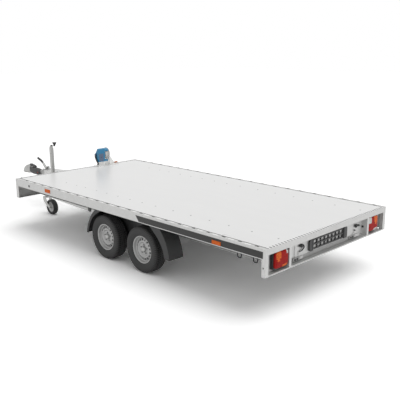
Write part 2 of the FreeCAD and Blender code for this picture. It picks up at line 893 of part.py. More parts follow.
# Rubber boot between the housing and the coupling, with a round damper through its rear end.
# columns: share of the boot's length, share of its radius
BOOT = [(0, 0.69), (0.11, 0.86), (0.32, 0.98), (0.62, 1.0), (0.86, 0.93), (0.96, 0.79), (1, 0.58)]
boot_z = draw_z - d.bellows_drop
boot_section = [(housing_end, 0)]
boot_section += [(housing_end + d.bellows_length * along, d.bellows_radius * wide) for along, wide in BOOT]
boot_section += [(bellows_end, 0)]
damper_x = housing_end + d.damper_radius
keep("bellows", fuse("bellows", [
    turned("bellows_boot", "x", boot_section, (0, 0, boot_z)),
    rod("bellows_damper", "y", (damper_x, 0, boot_z), d.damper_radius, d.bellows_radius + 4),
]))


# Coupling head: a cast hood with the ball's socket under its nose, and a handle on its crown
head_low = d.coupling_low
crown_z = draw_z + 76
crown_back = bellows_end + 20


def coupling_head():
    side_view = [
        (nose, head_low + 4),
        (nose, head_low + 24),
        (nose - 50, crown_z - 57),
        (nose - 110, crown_z - 18),
        (nose - 160, crown_z),
        (crown_back, crown_z),
        (bellows_end, crown_z - 24),
        (bellows_end, head_low + 26),
        (bellows_end + 30, head_low + 12),
        (bellows_end + 48, head_low),
        (nose - 8, head_low),
    ]
    body = prism("coupling_body", "XZ", side_view, -d.coupling_half, 2 * d.coupling_half, {2: 60, 4: 40})
    neck = d.coupling_half - 15
    tip = d.coupling_half / 2
    shoulder = nose - d.ball_back - d.ball_radius - 45
    cheek = nose - d.ball_back + d.ball_radius + 5
    plan = prism("coupling_plan", "XY", [
        (bellows_end - OVER, -neck),
        (shoulder, -d.coupling_half),
        (cheek, -d.coupling_half),
        (nose, -tip),
        (nose, tip),
        (cheek, d.coupling_half),
        (shoulder, d.coupling_half),
        (bellows_end - OVER, neck),
    ], head_low - OVER, crown_z + 2 * OVER - head_low)
    depth = 30
    ball_at = (nose - d.ball_back, 0)
    socket = rod("coupling_socket", "z", (*ball_at, head_low - OVER), d.ball_radius, depth + OVER)
    dome = doc.addObject("Part::Sphere", "coupling_dome")
    bind(dome, {"Radius": d.ball_radius})
    place(dome, (*ball_at, head_low + depth))
    return cut("coupling_head", common("coupling_trim", body, plan), [socket, dome])


keep("coupling_head", coupling_head())
keep("coupling_handle", prism("coupling_handle", "XZ", offsets((crown_back, crown_z), [
    (22, 0),
    (0, 0),
    (-28, -6),
    (-140, -20),
    (-178, -18),
    (-184, 8),
    (-122, 22),
    (-50, 26),
    (14, 16),
]), -20, 40, {6: 60, 7: 60}))

rod_back = rear + d.axle_front_x + d.axle_lead + d.axle_beam / 2
rod_front = leg_end + d.housing_block / 2
rod_z = beam_z + 30
keep("brake_rod", fuse("brake_rod", [
    rod("brake_rod_bar", "x", (rod_back, 0, rod_z), d.rod_radius, rod_front - rod_back),
    block("brake_rod_lever", (rod_front, rod_front + 12), (-14, 14), (rod_z - 14, d.leg_bottom)),
]))


# Jockey wheel: clamp on the left leg, square tube, foot, crank, fork and wheel
jockey_x = front + d.jockey_ahead
jockey_y = leg_y(jockey_x) + d.jockey_offset
swivel_x = jockey_x + d.swivel_ahead
wheel_x = swivel_x - d.jockey_trail
tube_half = d.jockey_side / 2
bore_half = tube_half - d.jockey_wall
clamp_half = tube_half + d.clamp_wall


def square_post(name, reach, zs):
    return block(name, (jockey_x - reach, jockey_x + reach), (jockey_y - reach, jockey_y + reach), zs)


clamp_stock = block("jockey_clamp_stock", (jockey_x - clamp_half, jockey_x + clamp_half),
                    (leg_y(jockey_x), jockey_y + clamp_half), (d.leg_bottom + 15, leg_top - 15))
keep("jockey_clamp", cut("jockey_clamp", clamp_stock, [
    square_post("jockey_clamp_bore", tube_half, (d.leg_bottom, leg_top)),
    leg_prism("jockey_clamp_seat", 1, 0, (d.leg_bottom, leg_top)),
]))

crank_z = d.jockey_tube_top + d.jockey_cap
cap_start = d.jockey_tube_top


def cap_outline(centre):
    low = tube_half
    high = tube_half - d.jockey_taper
    return [(centre - low, cap_start), (centre + low, cap_start), (centre + high, crank_z), (centre - high, crank_z)]


tube_cap = common("jockey_cap", prism("jockey_cap_side", "XZ", cap_outline(jockey_x), jockey_y - tube_half,
                                      2 * tube_half),
                  prism("jockey_cap_back", "YZ", cap_outline(jockey_y), jockey_x - tube_half, 2 * tube_half))
tube_stock = fuse("jockey_tube_stock", [
    square_post("jockey_tube_outer", tube_half, (d.jockey_tube_low, d.jockey_tube_top)),
    tube_cap,
])
keep("jockey_tube", cut("jockey_tube", tube_stock, [
    square_post("jockey_tube_bore", bore_half, (d.jockey_tube_low - OVER, d.jockey_tube_top - 2 * d.jockey_cap)),
]))

foot_top = d.foot_low + d.foot_thick
foot_stock = fuse("jockey_foot_stock", [
    square_post("jockey_inner_tube", bore_half, (d.foot_low, d.jockey_tube_low + 4 * d.jockey_side)),
    block("jockey_arm", (jockey_x, swivel_x), (jockey_y - d.foot_half, jockey_y + d.foot_half),
          (d.foot_low, foot_top)),
    rod("jockey_arm_end", "z", (swivel_x, jockey_y, d.foot_low), d.foot_half, d.foot_thick),
    rod("jockey_boss", "z", (swivel_x, jockey_y, d.crown_top + 1), d.boss_radius, d.foot_low - d.crown_top),
])
pin_top = foot_top - 10
keep("jockey_foot", cut("jockey_foot", foot_stock, [
    rod("jockey_boss_bore", "z", (swivel_x, jockey_y, d.crown_top), d.jockey_pin + d.bearing_gap,
        pin_top + 4 - d.crown_top),
]))

knob_x = jockey_x - d.crank_reach
arm_half = d.crank_bar
arm_z = crank_z + d.crank_bar
keep("jockey_crank", fuse("jockey_crank", [
    rod("jockey_crank_hub", "z", (jockey_x, jockey_y, crank_z), arm_half + 1, d.crank_bar + 4),
    block("jockey_crank_arm", (knob_x - arm_half, jockey_x + arm_half), (jockey_y - arm_half, jockey_y + arm_half),
          (crank_z, arm_z)),
    cone("jockey_crank_knob", (knob_x, jockey_y, arm_z), d.knob_radius / 3, d.knob_radius, d.knob_height),
]))

arm_inner = d.jockey_width / 2 + d.fork_gap
arm_outer = arm_inner + d.fork_plate
axle_z = d.jockey_radius
crown_front = swivel_x + 50
fork_parts = [
    block("fork_crown", (swivel_x - 55, crown_front), (jockey_y - arm_outer, jockey_y + arm_outer),
          (d.crown_top - d.crown_plate, d.crown_top)),
    rod("fork_pin", "z", (swivel_x, jockey_y, d.crown_top), d.jockey_pin, pin_top - d.crown_top),
    rod("fork_axle", "y", (wheel_x, jockey_y - arm_outer - 6, axle_z), d.jockey_pin, 2 * arm_outer + 12),
]
for word, side in SIDES.items():
    ys = span(side, arm_inner, arm_outer)
    fork_parts.append(prism("fork_arm_" + word, "XZ", [
        (wheel_x - 18, axle_z - 14),
        (wheel_x + 12, axle_z - 18),
        (swivel_x - 20, axle_z + 26),
        (swivel_x + 34, d.crown_top - 72),
        (crown_front, d.crown_top - 20),
        (crown_front, d.crown_top),
        (swivel_x - 30, d.crown_top),
        (swivel_x - 66, axle_z + 58),
        (wheel_x - 18, axle_z + 14),
    ], jockey_y + ys[0], ys[1] - ys[0], {2: 60, 3: 40, 7: 30}))
keep("jockey_fork", fuse("jockey_fork", fork_parts))

jockey_half = d.jockey_width / 2
jockey_centre = (wheel_x, jockey_y, axle_z)
rim_half = 22
keep("jockey_tyre", turned("jockey_tyre", "y", [
    (-rim_half, d.jockey_rim_radius),
    (-jockey_half, d.jockey_radius - 26),
    (-jockey_half + 4, d.jockey_radius - 8),
    (-jockey_half + 14, d.jockey_radius),
    (jockey_half - 14, d.jockey_radius),
    (jockey_half - 4, d.jockey_radius - 8),
    (jockey_half, d.jockey_radius - 26),
    (rim_half, d.jockey_rim_radius),
], jockey_centre))
pin_bore = d.jockey_pin + d.bearing_gap
keep("jockey_rim", turned("jockey_rim", "y", [
    (-jockey_half - 2, pin_bore),
    (-jockey_half - 2, pin_bore + 10),
    (-14, pin_bore + 14),
    (-8, d.jockey_rim_radius - 14),
    (-rim_half - 2, d.jockey_rim_radius - 4),
    (-rim_half - 2, d.jockey_rim_radius),
    (rim_half + 2, d.jockey_rim_radius),
    (rim_half + 2, d.jockey_rim_radius - 4),
    (8, d.jockey_rim_radius - 14),
    (14, pin_bore + 14),
    (jockey_half + 2, pin_bore + 10),
    (jockey_half + 2, pin_bore),
], jockey_centre))


# Ramp bay hatch, hinged at its top edge, with the plate holder, plate lamps, hooks and catches
panel_back = cell_back - d.hatch_play
panel_face = panel_back - d.steel
holder_half = d.holder_length / 2
holder_low = hatch_top - d.holder_drop - d.holder_height
# the hooks stand at a share of the room between the plate lamps and the hatch's ends
HOOK_SHARE = 0.82
lamp_end = holder_half + d.plate_lamp_length
hook_inner = lamp_end + HOOK_SHARE * (hatch_half - lamp_end - d.hook_width)
hook_y = hook_inner + d.hook_width
catch_low = hatch_low + 6
keep("ramp_hatch", block("ramp_hatch", (panel_face, panel_back), (-hatch_half, hatch_half), (hatch_low, hatch_top)))
keep("plate_holder", block("plate_holder", (panel_face - d.holder_depth, panel_face), (-holder_half, holder_half),
                           (holder_low, holder_low + d.holder_height)))
lamp_pieces = []
hook_pieces = []
catch_pieces = []
for word, side in SIDES.items():
    ys = span(side, holder_half, holder_half + d.plate_lamp_length)
    low = holder_low - d.plate_lamp_rim
    high = holder_low + d.holder_height + d.plate_lamp_rim
    outer_y = ys[1] if side > 0 else ys[0]
    inner_y = ys[0] if side > 0 else ys[1]
    lamp_pieces.append(prism("plate_lamp_" + word, "YZ", [
        (inner_y, low), (outer_y, low), (outer_y, high), (inner_y, high),
    ], panel_face - d.plate_lamp_depth, d.plate_lamp_depth, {1: 20, 2: 20}))
    hook_start = panel_face - d.hook_depth
    hook_pieces.append(prism("hatch_hook_" + word, "XZ", [
        (hook_start, hatch_top - 60),
        (panel_face, hatch_top - 70),
        (panel_face, hatch_top - 20),
        (hook_start, hatch_top - 30),
    ], span(side, hook_y - d.hook_width, hook_y)[0], d.hook_width))
    catch_pieces.append(block("catch_" + word, (panel_face - 24, panel_face),
                              span(side, hook_y - 8 - d.catch_length, hook_y - 8),
                              (catch_low, catch_low + d.catch_height)))
keep("plate_lamps", group("plate_lamps", lamp_pieces))
keep("hatch_hooks", group("hatch_hooks", hook_pieces))
keep("hatch_catches", group("hatch_catches", catch_pieces))


# Tail lamps in the outer cells, side markers in the rails, lashing hooks under them
lamp_top = cell_top - d.lamp_gap
lamp_low = lamp_top - d.lamp_height
lens_back = rear + d.lamp_gap + d.lens_depth
for word, side in SIDES.items():
    ys = span(side, divider_outer, divider_outer + d.lamp_width)
    keep("tail_lamp_" + word, block("tail_lamp_" + word, (lens_back, cell_back), ys, (lamp_low, lamp_top)))
    low, high = lamp_low + d.lamp_rim, lamp_top - d.lamp_rim
    lens_ys = (ys[0] + d.lamp_rim, ys[1] - d.lamp_rim)
    keep("tail_lens_" + word, prism("tail_lens_" + word, "YZ", [
        (lens_ys[0], low), (lens_ys[1], low), (lens_ys[1], high), (lens_ys[0], high),
    ], lens_back - d.lens_depth, d.lens_depth, {0: d.lamp_corner, 1: d.lamp_corner, 2: d.lamp_corner,
                                                3: d.lamp_corner}))

# columns: name, start along the deck, length, low edge below the deck, height
MARKERS = [("rear", 543, 116, 88, 38), ("front", 3590, 126, 72, 46)]
marker_pieces = []
for name, start, length, below, height in MARKERS:
    for word, side in SIDES.items():
        marker_pieces.append(block("marker_%s_%s" % (name, word), (rear + start, rear + start + length),
                                   span(side, half, half + d.marker_proud), (top - below, top - below + height)))
keep("side_markers", group("side_markers", marker_pieces))

lashing_parts = []
for where, x in (("rear", d.lashing_rear_x), ("second", d.lashing_second_x), ("front", d.lashing_front_x)):
    for word, side in SIDES.items():
        narrowing = d.lashing_length / 5
        outline = offsets((rear + x, rail_low), [
            (0, 0),
            (narrowing, -d.lashing_drop),
            (d.lashing_length - narrowing, -d.lashing_drop),
            (d.lashing_length, 0),
        ])
        inner_y = half - d.steel - d.lashing_bar
        lashing_parts.append(prism("lashing_%s_%s" % (where, word), "XZ", outline,
                                   span(side, inner_y, inner_y + d.lashing_bar)[0], d.lashing_bar))
keep("lashing_hooks", group("lashing_hooks", lashing_parts))


# Hand winch on the front right corner of the floor: from the left, its crank, cover, drum and bracket
winch_x = front - d.winch_back
winch_z = top + d.winch_axle_z
axle_at = (winch_x, winch_z)
cover_left = -d.winch_side
cover_right = cover_left - d.winch_cover_width
cheek_left = cover_right - d.winch_gap / 2
drum_left = cheek_left - d.winch_sheet - d.winch_gap
drum_right = drum_left - d.winch_drum_width
cheek_right = drum_right - d.winch_gap
bracket_end = cheek_right - d.winch_sheet
base_right = cover_left - d.winch_base_length
base_top = top + d.winch_base_thick
base_low = base_top - winch_z
flange_thick = 6
foot_below = 111
shaft_bore = d.winch_shaft + d.bearing_gap


def cheek(name, left, rear_reach, rise):
    return prism(name, "XZ", [
        (winch_x - rear_reach, base_top),
        (winch_x + 62, base_top),
        (winch_x + 62, base_top + 60),
        (winch_x + 28, winch_z + rise),
        (winch_x - 28, winch_z + rise),
        (winch_x - rear_reach, winch_z - 70),
    ], left - d.winch_sheet, d.winch_sheet, {3: 26, 4: 26})


keep("winch_frame", cut("winch_frame", fuse("winch_frame_stock", [
    block("winch_base", (winch_x - 70, winch_x + 66), (base_right, cover_left), (top, base_top)),
    block("winch_plinth", (winch_x - 64, winch_x - 6), (cover_right + 4, cover_left - 6),
          (base_top, winch_z - foot_below)),
    cheek("winch_cheek_left", cheek_left, 30, 58),
    cheek("winch_cheek_right", cheek_right, 66, 84),
    prism("winch_gusset", "YZ", [
        (bracket_end, base_top),
        (bracket_end, winch_z + 70),
        (base_right + 4, base_top),
    ], winch_x + 50, d.winch_sheet),
]), [rod("winch_frame_bore", "y", (winch_x, bracket_end - OVER, winch_z), shaft_bore,
         cheek_left - bracket_end + 2 * OVER)]))

# the cover's end view, the band that bridges over the drum, and the foot under the drum
COVER = [(-70, -111), (-30, -111), (26, -42), (26, -5), (-46, 95), (-60, 95), (-70, 85)]
BAND = [(-70, 44), (-64, 50), (-50, 66), (-28, 78), (-22, 84), (-22, 88), (-56, 80), (-70, 64)]
band_reach = 65
gear_space = block("winch_gear_space", (winch_x - 64, winch_x - 30), (cover_right + 6, cover_left - 6),
                   (winch_z - 100, winch_z + 40))
keep("winch_cover", cut("winch_cover", fuse("winch_cover_stock", [
    prism("winch_cover_body", "XZ", offsets(axle_at, COVER), cover_right, d.winch_cover_width,
          {1: 12, 2: 14, 3: 14, 5: 8}),
    prism("winch_cover_band", "XZ", offsets(axle_at, BAND), cover_right - band_reach, band_reach),
    block("winch_cover_foot", (winch_x - 70, winch_x - 35), (cover_right - band_reach + 10, cover_right),
          (winch_z - foot_below, winch_z - foot_below + 28)),
]), [gear_space, rod("winch_cover_bore", "y", (winch_x, cover_right - OVER, winch_z), shaft_bore,
                     d.winch_cover_width + 2 * OVER)]))

shaft_end = cheek_left + 2
keep("winch_drum", turned("winch_drum", "y", [
    (bracket_end - 8, 0),
    (bracket_end - 8, d.winch_shaft),
    (drum_right, d.winch_shaft),
    (drum_right, d.winch_flange_radius),
    (drum_right + flange_thick, d.winch_flange_radius),
    (drum_right + flange_thick + 4, d.winch_core_radius),
    (drum_left - flange_thick, d.winch_core_radius),
    (drum_left - flange_thick, d.winch_core_radius + 4),
    (drum_left, d.winch_core_radius + 4),
    (drum_left, d.winch_shaft),
    (shaft_end, d.winch_shaft),
    (shaft_end, 0),
], (winch_x, 0, winch_z)))

crank_start = shaft_end + d.winch_gap
crank_inner = cover_left + d.winch_gap
crank_outer = crank_inner + d.winch_arm_thick
handle_dx, handle_dz = -84, -140
keep("winch_crank", fuse("winch_crank", [
    rod("winch_crank_shaft", "y", (winch_x, crank_start, winch_z), d.winch_shaft, crank_outer - crank_start),
    rod("winch_crank_hub", "y", (winch_x, crank_inner, winch_z), 16, d.winch_arm_thick),
    prism("winch_crank_arm", "XZ", offsets(axle_at, [
        (-14, 4),
        (14, 4),
        (13, -44),
        (-22, -104),
        (-78, -146),
        (-90, -134),
        (-40, -88),
        (-13, -40),
    ]), crank_inner, d.winch_arm_thick, {2: 30, 3: 30}),
    rod("winch_crank_handle", "y", (winch_x + handle_dx, crank_outer, winch_z + handle_dz), d.winch_handle_radius, 26),
]))
hook_left = base_right
keep("winch_hook", block("winch_hook", (winch_x + 34, winch_x + 62), (hook_left - 50, hook_left), (top, top + 26)))


# Checks and export
def write_parts():
    doc.recompute()
    for thing in doc.Objects:
        if "Invalid" in thing.State or "Error" in thing.State:
            raise RuntimeError("%s failed: %s" % (thing.Label, thing.State))
    for name, thing in nodes.items():
        if thing.Shape.isNull() or not thing.Shape.isValid():
            raise RuntimeError("%s has no valid shape" % name)
    os.makedirs("parts", exist_ok=True)
    for name, thing in nodes.items():
        thing.Shape.exportStep("parts/%s.step" % name)
        print(name, round(thing.Shape.Volume / 1e6, 3))


write_parts()
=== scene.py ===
import json
import math

import bmesh
import bpy
import numpy as np
from mathutils import Matrix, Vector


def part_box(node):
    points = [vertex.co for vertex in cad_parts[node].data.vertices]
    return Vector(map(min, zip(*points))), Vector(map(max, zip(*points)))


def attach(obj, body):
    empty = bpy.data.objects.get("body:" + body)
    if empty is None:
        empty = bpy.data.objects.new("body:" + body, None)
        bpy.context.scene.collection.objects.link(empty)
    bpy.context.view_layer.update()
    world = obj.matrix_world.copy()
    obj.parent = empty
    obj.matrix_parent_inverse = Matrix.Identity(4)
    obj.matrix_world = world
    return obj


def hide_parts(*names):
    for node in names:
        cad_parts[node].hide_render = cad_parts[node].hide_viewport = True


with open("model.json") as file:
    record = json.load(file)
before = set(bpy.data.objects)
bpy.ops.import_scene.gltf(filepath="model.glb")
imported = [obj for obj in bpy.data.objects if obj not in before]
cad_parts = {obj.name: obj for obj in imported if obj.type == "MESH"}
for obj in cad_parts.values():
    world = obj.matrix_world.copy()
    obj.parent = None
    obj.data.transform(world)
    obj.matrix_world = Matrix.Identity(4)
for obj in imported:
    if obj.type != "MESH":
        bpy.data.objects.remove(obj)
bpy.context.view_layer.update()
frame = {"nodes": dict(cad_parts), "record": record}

print("frame loaded")

# Shapes are worked out in millimetres, with X measured forward from the deck's rear face.
mm = 0.001
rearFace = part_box("rear_beam")[0].x


def corners(node):
    # a CAD node's lowest and highest corner, in millimetres, with X from the deck's rear face
    low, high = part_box(node)
    shift = np.array([rearFace, 0, 0])
    return (np.array(low) - shift) / mm, (np.array(high) - shift) / mm


def middle(node):
    low, high = corners(node)
    return (low + high) / 2


deck = {
    "front": corners("front_beam")[1][0],
    "half": corners("rear_beam")[1][1],
    "top": corners("floor_rear")[1][2],
    "floorHalf": corners("floor_rear")[1][1],
    "railLow": corners("side_rail_left")[0][2],
}
nose = corners("coupling_head")[1][0]
sides = {"left": 1, "right": -1}
origin = (0, 0, 0)


# Finishes: shader maths is written as sums on sockets
class Value:
    def __init__(self, nodes, socket):
        self.nodes = nodes
        self.socket = socket

    def math(self, operation, first, second):
        return self.nodes.node("ShaderNodeMath", {"operation": operation}, {0: first, 1: second})

    def __add__(self, other):
        return self.math("ADD", self, other)

    def __radd__(self, other):
        return self.math("ADD", other, self)

    def __sub__(self, other):
        return self.math("SUBTRACT", self, other)

    def __mul__(self, other):
        return self.math("MULTIPLY", self, other)

    def orHigher(self, other):
        return self.math("MAXIMUM", self, other)


class Nodes:
    # the node tree of a material or of the world
    def __init__(self, owner):
        owner.use_nodes = True
        self.owner = owner
        self.tree = owner.node_tree
        self.tree.nodes.clear()

    def node(self, kind, settings=None, inputs=None, output=0):
        # one node: its settings first, then the values or links of its sockets
        made = self.tree.nodes.new(kind)
        for key, value in (settings or {}).items():
            setattr(made, key, value)
        for key, value in (inputs or {}).items():
            if isinstance(value, Value):
                self.tree.links.new(value.socket, made.inputs[key])
            else:
                made.inputs[key].default_value = value
        return Value(self, made.outputs[output]) if made.outputs else None

    def place(self):
        return self.node("ShaderNodeTexCoord", output="Object")

    def noise(self, scale, detail=3, stretch=(1, 1, 1)):
        where = self.node("ShaderNodeMapping", None, {"Vector": self.place(), "Scale": stretch})
        return self.node("ShaderNodeTexNoise", None, {"Vector": where, "Scale": scale, "Detail": detail})

    def cells(self, scale, output):
        return self.node("ShaderNodeTexVoronoi", None, {"Vector": self.place(), "Scale": scale}, output)

    def blend(self, share, first, second):
        return self.node("ShaderNodeMix", {"data_type": "RGBA"}, {0: share, 6: first, 7: second}, 2)

    def bump(self, height, distance, strength):
        inputs = {"Height": height, "Distance": distance, "Strength": strength}
        return self.node("ShaderNodeBump", None, inputs)

    def seen(self, *others):
        # 1 for camera rays and the other kinds named, 0 for the rest
        mark = self.node("ShaderNodeLightPath", output="Is Camera Ray")
        for kind in others:
            mark = mark.orHigher(self.node("ShaderNodeLightPath", output="Is %s Ray" % kind))
        return mark

    def surface(self, inputs):
        shader = self.node("ShaderNodeBsdfPrincipled", None, inputs)
        self.node("ShaderNodeOutputMaterial", None, {"Surface": shader})
        return self.owner


def newFinish(name):
    return Nodes(bpy.data.materials.new(name))


def rgb(red, green=None, blue=None, share=1.0):
    green = red if green is None else green
    blue = red if blue is None else blue
    return (red * share, green * share, blue * share, 1)


galvanised = {"pale": 0.64, "dark": 0.52, "spangle": 46, "cellShare": 0.35, "cloudShare": 0.9,
              "roughness": 0.40, "metallic": 0.7, "relief": 0.0002}


def makeGalvanised():
    # zinc coat: crystals of slightly different greys under soft clouds
    f = newFinish("galvanisedSteel")
    shade = f.node("ShaderNodeSeparateColor", None, {"Color": f.cells(galvanised["spangle"], "Color")})
    cloud = f.noise(5, 4)
    share = shade * galvanised["cellShare"] + cloud * galvanised["cloudShare"] - 0.1
    pale, dark = galvanised["pale"], galvanised["dark"]
    return f.surface({
        "Base Color": f.blend(share, rgb(dark, dark, dark * 0.985), rgb(pale, pale, pale * 0.99)),
        "Roughness": galvanised["roughness"] + cloud * 0.16 + shade * 0.06,
        "Metallic": galvanised["metallic"],
        "Normal": f.bump(shade, galvanised["relief"], 0.10),
    })


def makeSatin(name, colour, roughness, metallic=0.0, grain=0.12, scale=30, bump=0.0, coat=0.0,
              stretch=(1, 1, 1), gloss=0.5):
    # one colour with small uneven patches in its shade and gloss
    f = newFinish(name)
    patch = f.noise(scale, 4, stretch)
    inputs = {
        "Base Color": f.blend(patch, rgb(*colour, share=1 - grain), rgb(*colour, share=1 + grain)),
        "Roughness": roughness - 0.06 + patch * 0.12,
        "Metallic": metallic,
        "Specular IOR Level": gloss,
        "Coat Weight": coat,
        "Coat Roughness": 0.08,
    }
    if bump:
        inputs["Normal"] = f.bump(f.noise(scale * 12, 2, stretch), bump, 0.5)
    return f.surface(inputs)


floorCoat = {"colour": (0.80, 0.80, 0.795), "roughness": 0.23, "uneven": 0.05, "grain": 420, "relief": 0.0003}


def makeFloorCoat():
    # phenolic coat on plywood: pale grey, glossy, with a fine pressed grain and faint scuffs along the bed
    f = newFinish("floorCoat")
    scuff = f.noise(3.0, 6, (0.35, 1.6, 1))
    grain = f.noise(floorCoat["grain"], 1)
    colour, uneven = floorCoat["colour"], floorCoat["uneven"]
    return f.surface({
        "Base Color": f.blend(scuff * 0.7 + grain * 0.3, rgb(*colour, share=1 - uneven),
                              rgb(*colour, share=1 + uneven)),
        "Roughness": floorCoat["roughness"] + scuff * 0.16,
        "Specular IOR Level": 0.5,
        "Normal": f.bump(grain, floorCoat["relief"], 0.12),
    })


def makeRubber(name, shade, dust):
    # nearly black rubber, with pale dust in patches
    f = newFinish(name)
    patch = f.noise(14, 5)
    return f.surface({
        "Base Color": f.blend(patch, rgb(shade), rgb(shade + dust)),
        "Roughness": 0.62 + patch * 0.18,
        "Normal": f.bump(f.noise(260, 2), 0.0004, 0.4),
    })


lens = {"prisms": 130, "pale": 1.25, "dark": 0.45, "relief": 0.0008}


def makeLens(name, colour, glow):
    # moulded lens over a reflector: rows of small prisms below a thin clear coat
    f = newFinish(name)
    prism = f.cells(lens["prisms"], "Distance")
    return f.surface({
        "Base Color": f.blend(prism, rgb(*colour, share=lens["pale"]), rgb(*colour, share=lens["dark"])),
        "Roughness": 0.5,
        "Specular IOR Level": 0.12,
        "Coat Weight": 0.04,
        "Coat Roughness": 0.1,
        "Emission Color": rgb(*colour),
        "Emission Strength": glow,
        "Normal": f.bump(prism, lens["relief"], 0.4),
    })


steel = makeGalvanised()
zinc = makeSatin("zincCasting", (0.44, 0.44, 0.43), 0.38, 0.7, 0.14, 24, 0.0003)
brightZinc = makeSatin("brightZinc", (0.72, 0.72, 0.71), 0.26, 0.8, 0.05, 30)
paleZinc = makeSatin("paleZinc", (0.86, 0.86, 0.85), 0.42, 0.2, 0.04, 30)
# darker zinc for real parts, also used as painted shade on the sill, along the hatch's lower edge and on the
# lamp cells' walls
darkZincAndPaintedShade = makeSatin("darkZincAndPaintedShade", (0.40, 0.40, 0.395), 0.5, 0.45, 0.12, 14)
wheelPaint = makeSatin("silverWheelPaint", (0.46, 0.46, 0.455), 0.40, 0.35, 0.08, 20, 0.0, 0.1)
# painted shade: a dark grey laid on the narrow gutters of the rim and round the hub seat
wheelShade = makeSatin("wheelGutterShade", (0.13, 0.13, 0.13), 0.46, 0.3, 0.12, 20)
floorTop = makeFloorCoat()
tyreRubber = makeRubber("tyreRubber", 0.022, 0.026)
# nearly black rubber for real rubber parts, also used as painted shade at the floor's edge and inside holes
rubberAndPaintedShade = makeRubber("rubberAndPaintedShade", 0.022, 0.012)
bootRubber = makeRubber("bootRubber", 0.060, 0.050)
guardPlastic = makeSatin("guardPlastic", (0.026, 0.0265, 0.027), 0.52, 0.0, 0.15, 9, 0.0004)
blackPlastic = makeSatin("blackPlastic", (0.026, 0.026, 0.027), 0.42, 0.0, 0.15, 40, 0.0003)
blackFilm = makeSatin("blackFilm", (0.016, 0.016, 0.015), 0.46, 0.0, 0.10, 6)
shadowBlack = makeSatin("shadowBlack", (0.004, 0.004, 0.004), 0.9, 0.0, 0.10, 6, gloss=0.04)
darkSteel = makeSatin("darkSteel", (0.040, 0.041, 0.042), 0.42, 0.3, 0.2, 30)
bluePaint = makeSatin("bluePaint", (0.020, 0.225, 0.430), 0.36, 0.0, 0.06, 20, 0.0, 0.1)
greyLabel = makeSatin("greyLabel", (0.115, 0.165, 0.260), 0.35, 0.0, 0.04, 30)
orangePaint = makeSatin("orangePaint", (0.56, 0.17, 0.035), 0.38, 0.0, 0.08, 30)
strapWeb = makeSatin("strapWeb", (0.66, 0.65, 0.63), 0.75, 0.0, 0.12, 120, 0.0005, 0.0, (1, 6, 1))
screwSteel = makeSatin("screwSteel", (0.27, 0.27, 0.27), 0.35, 0.8, 0.1, 60)
redLens = makeLens("redLens", (0.42, 0.006, 0.004), 0.02)
amberLens = makeLens("amberLens", (0.86, 0.17, 0.03), 0.02)
clearLens = makeLens("clearLens", (0.80, 0.80, 0.78), 0.0)
redPaint = makeSatin("redPaint", (0.60, 0.03, 0.02), 0.35)
print("finishes made")


# Shapes: each gives its points and its faces
def gridFaces(rows, columns, closeRows=False, closeColumns=False):
    # quads between neighbouring points of a grid whose points run row by row
    lastRow = rows if closeRows else rows - 1
    lastColumn = columns if closeColumns else columns - 1
    r, c = np.meshgrid(np.arange(lastRow), np.arange(lastColumn), indexing="ij")
    rn, cn = (r + 1) % rows, (c + 1) % columns
    quads = np.stack([r * columns + c, rn * columns + c, rn * columns + cn, r * columns + cn], -1)
    return quads.reshape(-1, 4).tolist()


def loft(sections, closed=True, capped=True):
    # sections: rows of points, each row one closed outline; the ends are closed by a flat face
    rows, columns = sections.shape[:2]
    faces = gridFaces(rows, columns, False, closed)
    if capped:
        faces += [list(range(columns)), list(range((rows - 1) * columns, rows * columns))]
    return sections.reshape(-1, 3), faces


def axes(axis):
    # the places of the two outline coordinates and of the one along the axis
    return {"x": (1, 2, 0), "y": (0, 2, 1), "z": (0, 1, 2)}[axis]


def extruded(outline, axis, start, end):
    # an outline in the plane across the axis, carried from start to end
    a, b, c = axes(axis)
    outline = np.asarray(outline, float)
    sections = np.zeros((2, len(outline), 3))
    sections[:, :, a] = outline[:, 0]
    sections[:, :, b] = outline[:, 1]
    sections[:, :, c] = np.array([start, end])[:, None]
    return loft(sections)


def slab(low, high):
    # a block between two corners
    outline = [low[:2], (high[0], low[1]), high[:2], (low[0], high[1])]
    return extruded(outline, "z", low[2], high[2])


def roundedOutline(points, radius, steps=5):
    # each corner of an outline becomes an arc: a quadratic curve through radius-long stubs
    points = np.asarray(points, float)
    radius = np.broadcast_to(radius, len(points))
    t = np.linspace(0, 1, steps)[:, None]
    result = []
    for i, corner in enumerate(points):
        if radius[i] <= 0:
            result.append(corner[None])
            continue
        toLast = points[i - 1] - corner
        toNext = points[(i + 1) % len(points)] - corner
        first = corner + toLast / np.linalg.norm(toLast) * radius[i]
        last = corner + toNext / np.linalg.norm(toNext) * radius[i]
        result.append((1 - t) ** 2 * first + 2 * t * (1 - t) * corner + t ** 2 * last)
    return np.concatenate(result)


def roundedBox(low, high, radius, steps=4):
    # a rectangle's outline between two corners
    return roundedOutline([low, (high[0], low[1]), high, (low[0], high[1])], radius, steps)


def turned(profile, axis, centre, steps=64, closed=False):
    # profile points are (along the axis, radius); point(i, angle) = centre + along + radius on a circle
    a, b, c = axes(axis)
    profile = np.asarray(profile, float)
    angle = np.linspace(0, 2 * np.pi, steps, endpoint=False)
    grid = np.zeros((len(profile), steps, 3))
    grid[..., a] = profile[:, 1:2] * np.cos(angle)
    grid[..., b] = profile[:, 1:2] * np.sin(angle)
    grid[..., c] = profile[:, :1]
    grid += np.asarray(centre, float)
    faces = gridFaces(len(profile), steps, closed, True)
    if not closed:
        faces += [list(range(row * steps, (row + 1) * steps)) for row in (0, len(profile) - 1)]
    return grid.reshape(-1, 3), faces


